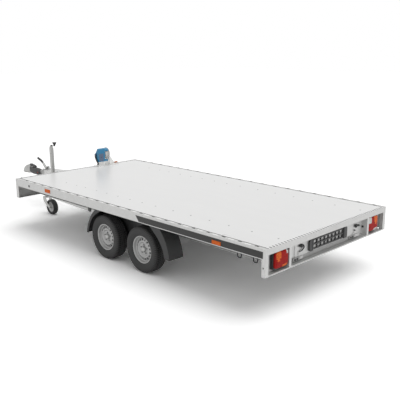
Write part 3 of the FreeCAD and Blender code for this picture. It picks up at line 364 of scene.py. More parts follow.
def carried(section, path, up=(0, 0, 1), scale=1.0):
    # a closed section (across, upwards) carried along a path: point = path + across * side + upwards * top
    path = np.asarray(path, float)
    along = np.gradient(path, axis=0)
    along /= np.linalg.norm(along, axis=1)[:, None]
    side = np.cross(along, np.asarray(up, float))
    side /= np.linalg.norm(side, axis=1)[:, None]
    top = np.cross(side, along)
    scale = np.broadcast_to(np.asarray(scale, float).reshape(-1, 1, 1), (len(path), 1, 1))
    across = section[None, :, :1] * scale
    upwards = section[None, :, 1:] * scale
    return loft(path[:, None] + across * side[:, None] + upwards * top[:, None])


def circle(radius, steps=12):
    angle = np.linspace(0, 2 * np.pi, steps, endpoint=False)
    return np.stack([np.cos(angle), np.sin(angle)], 1) * radius


def curve(points, steps=24):
    # a smooth path through a few points: each coordinate is a piecewise cubic of the distance along them
    points = np.asarray(points, float)
    knots = np.concatenate([[0], np.cumsum(np.linalg.norm(np.diff(points, axis=0), axis=1))])
    slope = np.gradient(points, knots, axis=0)
    s = np.linspace(0, knots[-1], steps)
    i = np.clip(np.searchsorted(knots, s, "right") - 1, 0, len(knots) - 2)
    width = (knots[i + 1] - knots[i])[:, None]
    t = (s - knots[i])[:, None] / width
    return ((2 * t**3 - 3 * t**2 + 1) * points[i] + (t**3 - 2 * t**2 + t) * width * slope[i]
            + (3 * t**2 - 2 * t**3) * points[i + 1] + (t**3 - t**2) * width * slope[i + 1])


class Piece:
    # parts of one piece, each with its finish, that become one mesh: points * (1, side, 1) + centre
    def __init__(self, name, slotName, body="frame", side=1, centre=origin):
        self.name, self.slotName, self.body, self.side, self.centre = name, slotName, body, side, centre
        self.points, self.faces, self.marks, self.finishes = [], [], [], []
        self.count = 0

    def add(self, shape, finish, side=1):
        points, faces = shape
        if finish not in self.finishes:
            self.finishes.append(finish)
        self.points.append(np.asarray(points, float) * [1, side * self.side, 1] + self.centre)
        self.faces += [[corner + self.count for corner in face] for face in faces]
        self.marks += [self.finishes.index(finish)] * len(faces)
        self.count += len(points)

    def pair(self, shape, finish):
        # the shape on the left and its mirror image on the right
        for side in sides.values():
            self.add(shape, finish, side)

    def done(self, replaces=(), angle=32, bevel=0.0, merge=False):
        points = np.concatenate(self.points) * mm + np.array([rearFace, 0, 0])
        mesh = bpy.data.meshes.new(self.name)
        mesh.from_pydata(points, [], self.faces)
        for finish in self.finishes:
            mesh.materials.append(finish)
        mesh.polygons.foreach_set("material_index", self.marks)
        work = bmesh.new()
        work.from_mesh(mesh)
        if merge:
            bmesh.ops.remove_doubles(work, verts=work.verts, dist=2e-6)
        bmesh.ops.recalc_face_normals(work, faces=work.faces)
        work.to_mesh(mesh)
        work.free()
        settle(mesh, self.body, replaces, angle, bevel)


def linked(name, data):
    made = bpy.data.objects.new(name, data)
    bpy.context.scene.collection.objects.link(made)
    return made


def settle(mesh, body, replaces, angle, bevel):
    # a finished mesh becomes an object that rides on its body
    mesh.shade_smooth()
    mesh.set_sharp_from_angle(angle=math.radians(angle))
    made = linked(mesh.name, mesh)
    if bevel:
        edge = made.modifiers.new("edges", "BEVEL")
        edge.width = bevel * mm
        edge.segments = 2
        edge.limit_method = "ANGLE"
        edge.angle_limit = math.radians(40)
        edge.use_clamp_overlap = True
    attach(made, body)
    if replaces:
        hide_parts(*replaces)


bodyOf = {node: body for body, nodes in frame["record"]["behaviour"]["bodies"].items() for node in nodes}


def softened(node, finish, bevel):
    # a copy of a CAD node's own solid with its edges eased
    mesh = frame["nodes"][node].data.copy()
    mesh.name = node + "_eased"
    work = bmesh.new()
    work.from_mesh(mesh)
    bmesh.ops.remove_doubles(work, verts=work.verts, dist=1e-5)
    bmesh.ops.dissolve_limit(work, angle_limit=math.radians(0.5), verts=work.verts, edges=work.edges)
    work.to_mesh(mesh)
    work.free()
    mesh.materials.clear()
    mesh.materials.append(finish)
    mesh.polygons.foreach_set("material_index", [0] * len(mesh.polygons))
    settle(mesh, bodyOf[node], [node], 30, bevel)


# Nodes that keep their solids' shape, with eased edges: finish, ease and names
eased = (
    (steel, 1, "chassis_rail_left chassis_rail_right"), (steel, 0, "cross_members"), (steel, 1.5, "bay_beam"),
    (steel, 4, "drawbar_left drawbar_right"), (steel, 1, "drawbar_plate front_beam rear_beam"),
    (guardPlastic, 2, "mudguard_left mudguard_right"), (steel, 0, "axle_front axle_rear"),
    (darkZincAndPaintedShade, 6, "overrun_housing"), (zinc, 0, "brake_rod"), (zinc, 2, "jockey_clamp"),
    (zinc, 1.5, "jockey_tube jockey_foot"), (zinc, 1, "jockey_fork"),
    (blackPlastic, 2, "tail_lamp_left tail_lamp_right"), (brightZinc, 1, "winch_frame"),
    (bluePaint, 9, "winch_cover"), (amberLens, 2, "side_markers"),
)
for finish, bevel, names in eased:
    for node in names.split():
        softened(node, finish, bevel)


def partlyFinished(node, finish, fromX, fromY):
    # the faces ahead of one place and out from another get a second finish, both in millimetres
    mesh = bpy.data.objects[node + "_eased"].data
    mesh.materials.append(finish)
    centres = [face.center for face in mesh.polygons]
    marks = [int(centre.x - rearFace > fromX * mm and abs(centre.y) > fromY * mm) for centre in centres]
    mesh.polygons.foreach_set("material_index", marks)


for end in ("front", "rear"):
    partlyFinished("axle_" + end, darkSteel, 0, 620)
# painted light: the chassis rails' outer faces ahead of X 2890 get pale zinc, standing for light on them in
# the shade under the side rail
for word in sides:
    partlyFinished("chassis_rail_" + word, paleZinc, 2890, 695)
print("steel eased")


# Floor: screws in two rows, a dark rubber strip along the rails and the front edge that is painted shade in
# the gap at the floor's edge, and a toothed strip at the rear edge
floorTrim = {
    "screwAt": (123, 450, 756, 1030, 1310, 1592, 1890, 2130, 2358, 2595, 2824, 3042, 3290, 3491, 3742),
    "screwRow": 730, "screw": [(-1, 9.5), (0.36, 9.5), (0.6, 8.17), (0.6, 3.8), (0.1, 3.23)],
    "edgeShadeWidth": 9.0, "edgeShadeProud": 0.5,
    "toothPitch": 43, "toothWidth": 25, "toothDeep": 28, "toothProud": 0.8, "backProud": 0.5,
}


def addFloorTrim():
    top, reach = deck["top"], deck["floorHalf"]
    screws = Piece("floorScrews", "dark_steel")
    for x in floorTrim["screwAt"]:
        screws.pair(turned(floorTrim["screw"], "z", (x, floorTrim["screwRow"], top), 16), screwSteel)
    screws.done()

    # painted shade: a dark strip standing for the shadowed gap along the floor's edges
    edgeShade = Piece("floorEdgeShade", "black_rubber")
    inner, under, over = reach - floorTrim["edgeShadeWidth"], top - 2, top + floorTrim["edgeShadeProud"]
    start, end = corners("floor_rear")[0][0], corners("floor_front")[1][0]
    edgeShade.pair(slab((start, inner, under), (end, reach, over)), rubberAndPaintedShade)
    edgeShade.add(slab((end - floorTrim["edgeShadeWidth"], -reach, under), (end, reach, over)), rubberAndPaintedShade)
    edgeShade.done()

    strip = Piece("rearToothStrip", "galvanised")
    count = int(2 * reach / floorTrim["toothPitch"])
    wide, front = floorTrim["toothWidth"], 2 + floorTrim["toothDeep"]
    # painted shade and highlight: the dark back stands for the shade between the teeth, and the pale teeth
    # for the light on their tops
    strip.add(slab((1.5, -reach, top - 1), (front, reach, top + floorTrim["backProud"])), darkSteel)
    for i in range(count):
        y = -reach + (i + 0.5) * 2 * reach / count
        tooth = slab((1, y - wide / 2, top - 1), (front, y + wide / 2, top + floorTrim["toothProud"]))
        strip.add(tooth, paleZinc)
    strip.done()


for node in ("floor_rear", "floor_front"):
    frame["nodes"][node].data.materials.clear()
    frame["nodes"][node].data.materials.append(floorTop)
addFloorTrim()


# Side rails: a folded section whose top flange has a row of lashing slots
rail = {
    "sheet": 4, "flange": 44, "ledge": 36, "floorThick": 15, "edge": 1.5,
    "slotFirst": 124, "slotPitch": 205.7, "slotLength": 47, "slotFrom": 22, "slotWide": 17, "slotSunk": 0.6,
    "padLength": 74, "padFrom": 14, "padWide": 20, "padProud": 0.7, "padCorner": 8,
    "stripeStart": 27, "stripeTop": 1830, "stripeLow": 1777, "stripeDrop": 26, "stripeHigh": 66, "film": 0.6,
    "holeX": 4131, "holeDrop": 56, "holeRadius": 18,
}


def addSideRail(word, side):
    node = "side_rail_" + word
    start, end = corners(node)[0][0], corners(node)[1][0]
    half, top, low, t = deck["half"], deck["top"], deck["railLow"], rail["sheet"]
    inner, under = half - rail["flange"], top - rail["floorThick"]
    reach = inner - rail["ledge"]
    slotOuter = half - rail["slotFrom"]
    slotInner = slotOuter - rail["slotWide"]
    web = [(half, low), (half, top - rail["edge"]), (half - rail["edge"], top), (slotOuter, top),
           (slotOuter, top - t), (half - t, top - t), (half - t, low + t), (inner + 2 * t, low + t),
           (inner + 2 * t, low), (half - 2, low)]
    ledge = [(slotInner, top), (inner, top), (inner, under), (reach, under), (reach, under - t),
             (inner + t, under - t), (inner + t, top - t), (slotInner, top - t)]
    piece = Piece("sideRail_" + word, "galvanised", side=side)
    for outline in (web, ledge):
        piece.add(extruded(outline, "x", start, end), steel)
    slots = np.arange(rail["slotFirst"], end - 60, rail["slotPitch"])
    ends = np.repeat(slots, 2) + np.tile([-0.5, 0.5], len(slots)) * rail["slotLength"]
    for a, b in np.concatenate([[start], ends, [end]]).reshape(-1, 2):
        piece.add(slab((a, slotInner, top - t), (b, slotOuter, top)), steel)
    for a, b in ends.reshape(-1, 2):
        piece.add(slab((a, slotInner, top - 2 * t), (b, slotOuter, top - rail["slotSunk"])), shadowBlack)
    piece.done([node])

    trim = Piece("railTrim_" + word, "black_plastic", side=side)
    high, film = top - rail["stripeDrop"], half + rail["film"]
    bottom = high - rail["stripeHigh"]
    stripe = [(rail["stripeStart"], bottom), (rail["stripeLow"], bottom), (rail["stripeTop"], high),
              (rail["stripeStart"], high)]
    trim.add(extruded(stripe, "y", half - 1, film), blackFilm)
    outer = half - rail["padFrom"]
    reach = rail["padLength"] / 2
    for x in slots[:-1] + rail["slotPitch"] / 2:
        pad = roundedBox((x - reach, outer - rail["padWide"]), (x + reach, outer), rail["padCorner"])
        trim.add(extruded(pad, "z", top - 1, top + rail["padProud"]), paleZinc)
    # painted shade: a dark rubber disc drawn in the hole in the rail
    r = rail["holeRadius"]
    hole = [(half - 1, r), (film, r), (film, r - 4), (half + 0.1, r - 5)]
    trim.add(turned(hole, "y", (rail["holeX"], 0, top - rail["holeDrop"]), 24), rubberAndPaintedShade)
    trim.done()


for word, side in sides.items():
    addSideRail(word, side)
print("rails made")


# Wheels: a tyre with a cut tread, a pressed rim with round hand holes, and nuts on the hub
tyre = {
    "radius": 267, "pitches": 66, "stepsEach": 8, "groove": 7.0, "sipe": 5.0,
    "crownHalf": 62, "crownDrop": 2.8, "zigzag": 1.6,
    "lines": ((-37, 3.6), (-12.5, 3.2), (12.5, 3.2), (37, 3.6)),  # place across, half width
    "wall": [(46, 147), (57, 150), (59.5, 160), (65, 172), (71.5, 186), (75, 200), (75.2, 203), (76.4, 205),
             (77.4, 216), (77.3, 228), (76.3, 238), (75.4, 244), (74.4, 250), (72.4, 255.5), (69.2, 260),
             (65, 263)],
    "inner": [(40, 154), (62, 200), (52, 238), (0, 244), (-52, 238), (-62, 200), (-40, 154)],
}


def tyreShape():
    # radius(across, angle) = the crown's radius, less a groove at four lines round it and a cut at each pitch
    half = tyre["crownHalf"]
    across = np.linspace(-half, half, 63)
    crown = tyre["radius"] - tyre["crownDrop"] * (np.abs(across) / half) ** 3
    wall = np.array(tyre["wall"])
    profile = np.concatenate([wall * [-1, 1], np.stack([across, crown], 1), wall[::-1], tyre["inner"]])
    around = tyre["pitches"] * tyre["stepsEach"]
    angle = np.linspace(0, 2 * np.pi, around, endpoint=False)
    phase = np.arange(around) / tyre["stepsEach"]
    y = profile[:, :1]
    wave = tyre["zigzag"] * np.abs((phase % 2) - 1)[None]
    cut = np.zeros((len(profile), around))
    for line, width in tyre["lines"]:
        offset = y - line - wave * np.sign(line) + tyre["zigzag"] / 2
        cut = np.maximum(cut, tyre["groove"] * (np.abs(offset) < width))
    slant = (phase[None] + 0.012 * np.abs(y) + 0.5 * (np.abs(y) > 24)) % 1.0
    cut = np.maximum(cut, tyre["sipe"] * (slant < 0.27) * (np.abs(y) > 4))
    onTread = np.zeros(len(profile))
    onTread[len(wall) - 5:len(wall) + len(across) + 5] = 1
    deep = cut * onTread[:, None]
    radius = profile[:, 1:] - deep
    grid = np.stack([radius * np.cos(angle), np.broadcast_to(y, radius.shape), radius * np.sin(angle)], -1)
    faces = gridFaces(len(profile), around, True, True)
    sunk = (deep.reshape(-1)[np.array(faces)] > 1).all(1)
    blocks = [face for face, low in zip(faces, sunk) if not low]
    grooves = [face for face, low in zip(faces, sunk) if low]
    return grid.reshape(-1, 3), blocks, grooves


rim = {
    "holes": 16, "holeRadius": 12.0, "holeCircle": 113, "band": 13, "perSide": 8,
    "flange": [(60, 158), (60, 153), (58.5, 149), (55, 147), (50, 145.5), (44, 143.5)],
    "well": [(44, 143.5), (38, 141.5), (32, 139.5), (27, 136), (24.5, 131)],
    "gutter": [(24.5, 131), (24.2, 128.5), (25, 126)],
    "dish": [(40, 100), (42.2, 96), (43, 91), (42, 86), (38, 81), (32, 77), (28, 72), (26.3, 60), (26.3, 33)],
    "bandOuter": 25.0, "bandInner": 40.0,
    "outside": [(-60, 158), (-60, 146), (-26, 144), (-16, 129), (14, 129), (22, 138), (32, 144), (44, 147.3),
                (52, 150), (57, 157.8)],
    "inside": [(59, 157), (56.5, 150.5), (50, 147.2), (44, 145.2), (31, 141.3), (25.5, 137.6), (22.5, 131),
               (20, 125.6), (-15, 125.6), (-25, 141.5), (-59, 143.5)],
}


def holedBand():
    # the ring between two radii, cut into one patch for each hole: points run from the hole's edge to the
    # patch's edge, both walked the same way round
    n = rim["perSide"]
    line = np.linspace(-1, 1, n, endpoint=False)
    ones = np.ones(n)
    edges = ((line, -ones), (ones, line), (-line, ones), (-ones, -line))
    square = np.concatenate([np.stack(edge, 1) for edge in edges])
    turn = np.arctan2(square[:, 1], square[:, 0])
    hole = np.stack([np.cos(turn) / rim["holeCircle"], np.sin(turn)], 1) * rim["holeRadius"]
    patch = square * [math.pi / rim["holes"], rim["band"]]
    share = np.array([0, 0.12, 0.4, 1])[:, None, None]
    flat = hole * (1 - share) + patch * share
    lift = np.array([-5, -0.4, 0, 0])[:, None]
    points = []
    faces = []
    for k in range(rim["holes"]):
        angle = flat[..., 0] + 2 * math.pi * (k + 0.5) / rim["holes"]
        radius = flat[..., 1] + rim["holeCircle"]
        inward = (rim["holeCircle"] + rim["band"] - radius) / (2 * rim["band"])
        face = rim["bandOuter"] + (rim["bandInner"] - rim["bandOuter"]) * inward + lift
        points.append(np.stack([radius * np.cos(angle), face, radius * np.sin(angle)], -1).reshape(-1, 3))
        count = k * flat.shape[0] * flat.shape[1]
        faces += [[c + count for c in quad] for quad in gridFaces(flat.shape[0], flat.shape[1], False, True)]
    return np.concatenate(points), faces


def ringOf(profile):
    # an open turned surface, without end faces
    points, faces = turned(profile, "y", origin, rim["holes"] * rim["perSide"])
    return points, faces[:-2]


hub = {
    "cap": [(26.5, 32), (34, 32), (45, 30), (50, 26), (53, 17), (53.5, 0.01)],
    "seat": [(25, 70), (28, 68), (29.5, 60), (29.0, 40), (27.0, 36), (25, 35)],
    "gutter": [(26, 76), (27.0, 74), (27.0, 69), (26, 67)],
    "nut": [(26, 10), (38, 10), (41, 7), (42, 0.01)], "nuts": 5, "nutCircle": 50,
}


def addWheel(end, word, side):
    tag = end + "_" + word
    place = ("wheel_" + tag, side, middle("tyre_" + tag))
    rubber = Piece("roadTyre_" + tag, "tyre", *place)
    points, blocks, grooves = tyreShape()
    rubber.add((points, blocks), tyreRubber)
    rubber.add((points, grooves), shadowBlack)
    rubber.done(["tyre_" + tag], 28, 0, True)

    disc = Piece("discWheel_" + tag, "wheel_silver", *place)
    # the gutter between the well and the dish gets wheelShade, painted shade in that crease
    for name in ("flange", "well", "gutter", "dish"):
        disc.add(ringOf(rim[name]), wheelShade if name == "gutter" else wheelPaint)
    disc.add(holedBand(), wheelPaint)
    disc.done([], 34, 0, True)
    # painted shade: the barrel is dark steel where it is seen through the hand holes, standing for the shade
    # behind the disc
    barrel = Piece("wheelBarrel_" + tag, "wheel_silver", *place)
    barrel.add(turned(rim["outside"] + rim["inside"], "y", origin, 96, True), darkSteel)
    barrel.done(["rim_" + tag])

    fittings = Piece("hubFittings_" + tag, "zinc_casting", *place)
    # the gutter ring round the seat gets wheelShade, painted shade in the crease
    for name, steps, finish in (("cap", 40, zinc), ("seat", 48, wheelPaint), ("gutter", 48, wheelShade)):
        fittings.add(turned(hub[name], "y", origin, steps), finish)
    for k in range(hub["nuts"]):
        angle = 2 * math.pi * (k + 0.25) / hub["nuts"]
        spot = (hub["nutCircle"] * math.cos(angle), 0, hub["nutCircle"] * math.sin(angle))
        fittings.add(turned(hub["nut"], "y", spot, 6), screwSteel)
    fittings.done()
    softened("hub_" + tag, darkSteel, 0)


for end in ("front", "rear"):
    for word, side in sides.items():
        addWheel(end, word, side)
print("wheels made")


# Mudguard arches: a thin dark ring inside each guard, behind its wheel, painted shade that closes the gap
# between tyre and guard
arch = {"inner": 182, "outer": 240, "from": -20, "to": 200, "steps": 60, "thick": 3}


def addArchShade():
    liner = Piece("guardArchShade", "guard_plastic")
    angle = np.radians(np.linspace(arch["from"], arch["to"], arch["steps"]))
    circles = np.stack([np.cos(angle), np.sin(angle)], 1)
    outline = np.concatenate([circles * arch["outer"], circles[::-1] * arch["inner"]])
    wall = corners("mudguard_left")[0][1] + 1
    for end in ("front", "rear"):
        centre = middle("tyre_%s_left" % end)
        liner.pair(extruded(outline + centre[[0, 2]], "y", wall, wall + arch["thick"]), guardPlastic)
    liner.done()


addArchShade()


# Tail lamps: a domed lens with moulded chambers
lamp = {
    "dome": 9, "columns": 56, "rows": 46, "flute": 0.25, "fluteCount": 22, "corner": 0.20, "lift": 0.6,
    # coloured zones on red: finish (1 amber, 2 clear), then from and to in u and in v
    "both": ((1, 0.10, 0.80, 0.12, 2), (1, 0.28, 0.60, -0.18, 0.12)),
    "left": ((2, -2, -0.70, 0.50, 2), (1, -0.86, -0.10, -2, -0.72)),
    "right": ((2, -2, -0.45, 0.15, 2), (2, 0.10, 0.86, -2, -0.72)),
    "cellX": (41, 62), "cellFromHalf": (48.5, 46), "cellPast": (12, 22),
}


def addLens(word, side):
    # face(u, v) = dome * (1 - u^6)(1 - v^6) above the base, with flutes; the corners are drawn in
    node = "tail_lens_" + word
    low, high = corners(node)
    u, v = np.meshgrid(np.linspace(-1, 1, lamp["columns"]), np.linspace(-1, 1, lamp["rows"]))
    across = u * np.sqrt(1 - lamp["corner"] * v**6)
    upwards = v * np.sqrt(1 - lamp["corner"] * u**6)
    swell = (1 - u**6) * (1 - v**6)
    flutes = lamp["flute"] * np.cos(u * math.pi * lamp["fluteCount"]) * (swell > 0.4)
    x = low[0] + lamp["dome"] - lamp["dome"] * swell + flutes + lamp["lift"]
    y = (low[1] + high[1]) / 2 + side * across * (high[1] - low[1]) / 2
    z = (low[2] + high[2]) / 2 + upwards * (high[2] - low[2]) / 2
    front = np.stack([x, y, z], -1)
    colour = np.zeros(u.shape, int)
    for mark, fromU, toU, fromV, toV in lamp["both"] + lamp[word]:
        colour[(u > fromU) & (u < toU) & (v > fromV) & (v < toV)] = mark
    points, faces = loft(front, False, False)
    marks = colour[:-1, :-1].reshape(-1)
    piece = Piece("lampLens_" + word, "red_lens")
    for value, finish in enumerate((redLens, amberLens, clearLens)):
        piece.add((points, [face for face, mark in zip(faces, marks) if mark == value]), finish)
    edge = np.concatenate([front[0], front[1:, -1], front[-1, -2::-1], front[-2:0:-1, 0]])
    wall = np.stack([edge, edge * [0, 1, 1] + [high[0], 0, 0]])
    piece.add(loft(wall, True, False), redLens)
    piece.add((wall[1], [list(range(len(edge)))]), redLens)
    piece.done([node], 50, 0, True)


def addCellSides():
    # the outer wall of each lamp's cell, between the post and the cell's back, in dark zinc as painted shade
    # of the recess
    low, high = corners("tail_lamp_left")
    piece = Piece("lampCellSides", "galvanised")
    start = (lamp["cellX"][0], deck["half"] - lamp["cellFromHalf"][0], low[2] - lamp["cellPast"][0])
    end = (lamp["cellX"][1], deck["half"] - lamp["cellFromHalf"][1], high[2] + lamp["cellPast"][1])
    piece.pair(slab(start, end), darkZincAndPaintedShade)
    piece.done()


for word, side in sides.items():
    addLens(word, side)
addCellSides()


# Hatch: its panel, the open plate holder between two lamps, and what holds it shut
holder = {"cells": 8, "bar": 14, "rib": 12, "brace": 2.5}


def addPlateHolder():
    # three bars along and nine ribs across, with a thin brace in every other opening
    low, high = corners("plate_holder")
    lattice = Piece("plateHolder", "black_plastic", "hatch")
    for share in (0, 0.5, 1):
        z = low[2] + share * (high[2] - low[2] - holder["bar"])
        lattice.add(slab((low[0], low[1], z), (high[0], high[1], z + holder["bar"])), blackPlastic)
    pitch = (high[1] - low[1] - holder["rib"]) / holder["cells"]
    for k in range(holder["cells"] + 1):
        y = low[1] + k * pitch
        rib = slab((low[0] + 1, y, low[2] + 1), (high[0] - 1, y + holder["rib"], high[2] - 1))
        lattice.add(rib, blackPlastic)
        if k < holder["cells"] and k % 2 == 0:
            brace = [(low[0] + 5, y + 6, low[2] + 6), (low[0] + 5, y + pitch, (low[2] + high[2]) / 2)]
            lattice.add(carried(circle(holder["brace"], 6), brace), blackPlastic)
    lattice.done(["plate_holder"], 32, 1)


def addPlateLamps():
    low, high = corners("plate_lamps")
    inner = corners("plate_holder")[1][1]
    lamps = Piece("plateLamps", "black_plastic", "hatch")
    case = roundedBox((inner, low[2]), (high[1], high[2]), (6, 26, 26, 6), 7)
    window = roundedBox((inner + 3, low[2] + 14), (inner + 22, high[2] - 14), 5)
    lamps.pair(extruded(case, "x", low[0] + 3, high[0]), blackPlastic)
    lamps.pair(extruded(window, "x", low[0] + 0.5, low[0] + 6), darkSteel)
    lamps.done(["plate_lamps"], 32, 6)


# Fastenings: outlines are (across, upwards) and paths (along, across, upwards) from a button's middle
fastening = {
    "hookY": 462, "strapY": -556, "drop": 40, "wire": 2.2, "footShadeHigh": 38,
    "button": [(0, 10), (-8, 10), (-10, 21), (-15, 20), (-18, 12), (-18.5, 0.01)],
    "wing": [(-34, -8), (-8, -15), (12, -13), (46, 2), (40, 14), (6, 17)],
    "tail": [(-9, -30, 2), (-10, -38, -16), (-10, -24, -38), (-9, 10, -51), (-8, 42, -53)],
    "strap": [(-42, -24), (40, -14), (42, 4), (-38, -4)], "strapButton": (30, -8),
    "clip": [(38, -62), (58, -56), (60, -44), (42, -48)],
    # the last point of each wire is given above the hatch's lower edge
    "hookWire": [(-7, 42, -53), (-6, 46, -80), (-6, 44, 30)],
    "strapWire": [(-7, 51, -50), (-7, 70, -82), (-7, 90, 42)],
    # on each side a block and a strike, from and to across
    "catches": ((508, 596, 440, 500), (-488, -402, -588, -496)),
    "bolt": [(-13, 11), (-18, 11), (-20.5, 7), (-21, 0.01)], "boltApart": 18, "boltHigh": 20,
}


def addFastenings():
    # left a rubber hook with a curled tail, right a flat strap with a clip, each with a wire to its catch
    panelLow, panelHigh = corners("ramp_hatch")
    face, low = panelLow[0], panelLow[2]
    z = panelHigh[2] - fastening["drop"]
    # painted shade: a darker strip laid across the panel's lower edge
    foot = Piece("hatchFootShade", "galvanised", "hatch")
    reach = panelHigh[1] - 4
    foot.add(slab((face - 1.2, -reach, low + 2), (face + 0.5, reach, low + fastening["footShadeHigh"])), darkZincAndPaintedShade)
    foot.done([], 32, 0.5)

    hooks = Piece("rubberHooks", "black_rubber", "hatch")
    hookY, strapY = fastening["hookY"], fastening["strapY"]
    hooks.add(turned(fastening["button"], "x", (face, hookY, z), 20), rubberAndPaintedShade)
    wing = roundedOutline(fastening["wing"], 5, 4) + [hookY, z]
    hooks.add(extruded(wing, "x", face - 12, face - 4), rubberAndPaintedShade)
    tail = curve(fastening["tail"], 30) + [face, hookY, z]
    hooks.add(carried(circle(6.0, 10), tail, (1, 0, 0), np.linspace(1.2, 0.6, 30)), rubberAndPaintedShade)
    across, upwards = fastening["strapButton"]
    hooks.add(turned(fastening["button"], "x", (face, strapY + across, z + upwards), 20), rubberAndPaintedShade)
    strap = roundedOutline(fastening["strap"], 7, 4) + [strapY, z]
    hooks.add(extruded(strap, "x", face - 14, face - 3), rubberAndPaintedShade)
    clip = roundedOutline(fastening["clip"], 3, 3) + [strapY, z]
    hooks.add(extruded(clip, "x", face - 13, face - 2), rubberAndPaintedShade)
    hooks.done(["hatch_hooks"])

    catches = Piece("hatchCatches", "zinc_casting", "hatch")
    for points, y in ((fastening["hookWire"], hookY), (fastening["strapWire"], strapY)):
        wire = np.array(points, float) + [face, y, z]
        wire[-1, 2] += low - z
        catches.add(carried(circle(fastening["wire"], 8), curve(wire, 16), (1, 0, 0)), zinc)
    for blockFrom, blockTo, strikeFrom, strikeTo in fastening["catches"]:
        block = roundedBox((blockFrom, low + 5), (blockTo, low + 36), 6)
        catches.add(extruded(block, "x", face - 13, face), darkZincAndPaintedShade)
        for k in (-1, 1):
            y = (blockFrom + blockTo) / 2 + k * fastening["boltApart"]
            spot = (face, y, low + fastening["boltHigh"])
            catches.add(turned(fastening["bolt"], "x", spot, 10), darkSteel)
        strike = roundedBox((strikeFrom, low + 6), (strikeTo, low + 33), 3, 3)
        catches.add(extruded(strike, "x", face - 14, face), steel)
    catches.done(["hatch_catches"], 32, 0)


surround = {
    "sillPast": 70, "sillFront": 5, "sillRise": 12.5,
    "bracket": [(-714, 522), (-668, 526), (-670, 542), (-686, 548), (-692, 566), (-702, 546), (-716, 540)],
    "bracketX": (44, 59.5),
}


def addSurround():
    # on the frame: a thin darker sheet on the sill under the hatch, painted shade in the recess, and a rubber
    # bracket to its right
    high = corners("ramp_hatch")[1]
    front, back = surround["sillFront"], high[0] - 1
    z = corners("rear_beam")[0][2] + surround["sillRise"]
    reach = high[1] + surround["sillPast"]
    sillShade = Piece("hatchSillShade", "galvanised")
    outline = [(front, z), (back, z), (back, z + 1), (front, z + 0.5)]
    sillShade.add(extruded(outline, "y", -reach, reach), darkZincAndPaintedShade)
    sillShade.done()
    bracket = Piece("sideBracket", "black_rubber")
    bracket.add(extruded(roundedOutline(surround["bracket"], 4, 4), "x", *surround["bracketX"]), rubberAndPaintedShade)
    bracket.done()


softened("ramp_hatch", steel, 1)
addPlateHolder()
addPlateLamps()
addFastenings()
addSurround()
print("rear end made")


# Lashing hooks under the rails: bent round bar
hookBar = {
    "at": (92, 285, 2692), "radius": 6.5, "length": 60,
    "bend": ((7.5, 24), (13, 8), (30, 7), (47, 8), (52.5, 24)),  # along X, above the hook's lowest point
}


def addLashingHooks():
    low, high = corners("lashing_hooks")
    hooks = Piece("lashingHooks", "dark_steel")
    r, base, railLow = hookBar["radius"], low[2], deck["railLow"]
    y = high[1] - r
    for x in hookBar["at"]:
        bend = [(x + along, y, base + up) for along, up in hookBar["bend"]]
        path = curve([(x + 7, y, railLow + 1)] + bend + [(x + 53, y, railLow + 1)], 34)
        foot = slab((x, y - 6, railLow - 5), (x + hookBar["length"], y + 6, railLow + 0.5))
        hooks.pair(carried(circle(r, 10), path, (0, 1, 0)), darkSteel)
        hooks.pair(foot, darkSteel)
        if x == hookBar["at"][-1]:
            # the front hook's opening is closed by a plate
            plate = roundedOutline([(x + 2, base + 6), (x + 58, base + 6), (x + 59, railLow - 2),
                                    (x + 1, railLow - 2)], [16, 16, 3, 3], 5)
            hooks.pair(extruded(plate, "y", y - 5, y + 5), blackFilm)
    hooks.done(["lashing_hooks"])


addLashingHooks()


# Coupling: head, handle, boot and handbrake lever
coupling = {
    # the head's lines along X from the nose
    "topLine": [(0, 446), (-6, 452), (-50, 507), (-80, 532), (-110, 549), (-160, 565), (-215, 566),
                (-228, 556), (-235, 545)],
    "lowLine": [(0, 428), (-8, 421), (-190, 420), (-208, 430), (-235, 446)],
    "halfLine": [(0, 20), (-8, 27), (-50, 50), (-75, 55), (-150, 54), (-235, 40)],
    "power": 3.6, "narrowing": 0.22, "stations": 44, "steps": 40,
    "rib": [(-20, 36, 440), (-80, 56, 436), (-170, 54, 437), (-214, 44, 444)], "ribRadius": 5,
    "handle": [(-198, 0, 571), (-230, 0, 575), (-270, 0, 572), (-320, 0, 564), (-360, 0, 556),
               (-376, 0, 546)],
    "bootPlaces": [0, 0.04, 0.11, 0.32, 0.62, 0.86, 0.96, 1], "bootRadii": [36, 42, 50, 57, 58, 54, 46, 34],
    "bootZ": 478, "folds": 9, "foldDeep": 1.2, "damperX": 44,
    "damper": [(-7, 44), (-2, 41), (-1, 36), (-1, 30), (-6, 27), (-8, 0.01)],
    "button": [(-9, 9), (-4, 9), (-2.5, 7), (-2, 0.01)],
    "loop": [(-92, 0, 524), (-84, 0, 546), (-62, 0, 553), (-40, 0, 546), (-32, 0, 524)], "loopRadius": 3.5,
}


def addHead():
    # head: at each station along X a section |a|^p + |b|^p = 1, fitted between its top, low and side lines
    head = Piece("couplingHead", "zinc_casting")
    x = coupling["topLine"][-1][0] * np.linspace(0, 1, coupling["stations"])
    line = {}
    for name in ("topLine", "lowLine", "halfLine"):
        points = np.array(coupling[name])[::-1]
        line[name] = np.interp(x, points[:, 0], points[:, 1])
    angle = np.linspace(0, 2 * np.pi, coupling["steps"], endpoint=False)
    power = 2 / coupling["power"]
    a = np.sign(np.cos(angle)) * np.abs(np.cos(angle)) ** power
    b = np.sign(np.sin(angle)) * np.abs(np.sin(angle)) ** power
    centre = (line["topLine"] + line["lowLine"]) / 2
    tall = (line["topLine"] - line["lowLine"]) / 2
    narrow = 1 - coupling["narrowing"] * np.clip(b, 0, 1)[None]
    grid = np.stack([
        np.broadcast_to(nose + x[:, None], (len(x), len(angle))),
        line["halfLine"][:, None] * a[None] * narrow,
        centre[:, None] + tall[:, None] * b[None],
    ], -1)
    head.add(loft(grid), zinc)
    rib = curve(coupling["rib"], 24) + [nose, 0, 0]
    head.pair(carried(circle(coupling["ribRadius"], 8), rib), zinc)
    head.done(["coupling_head"], 40)


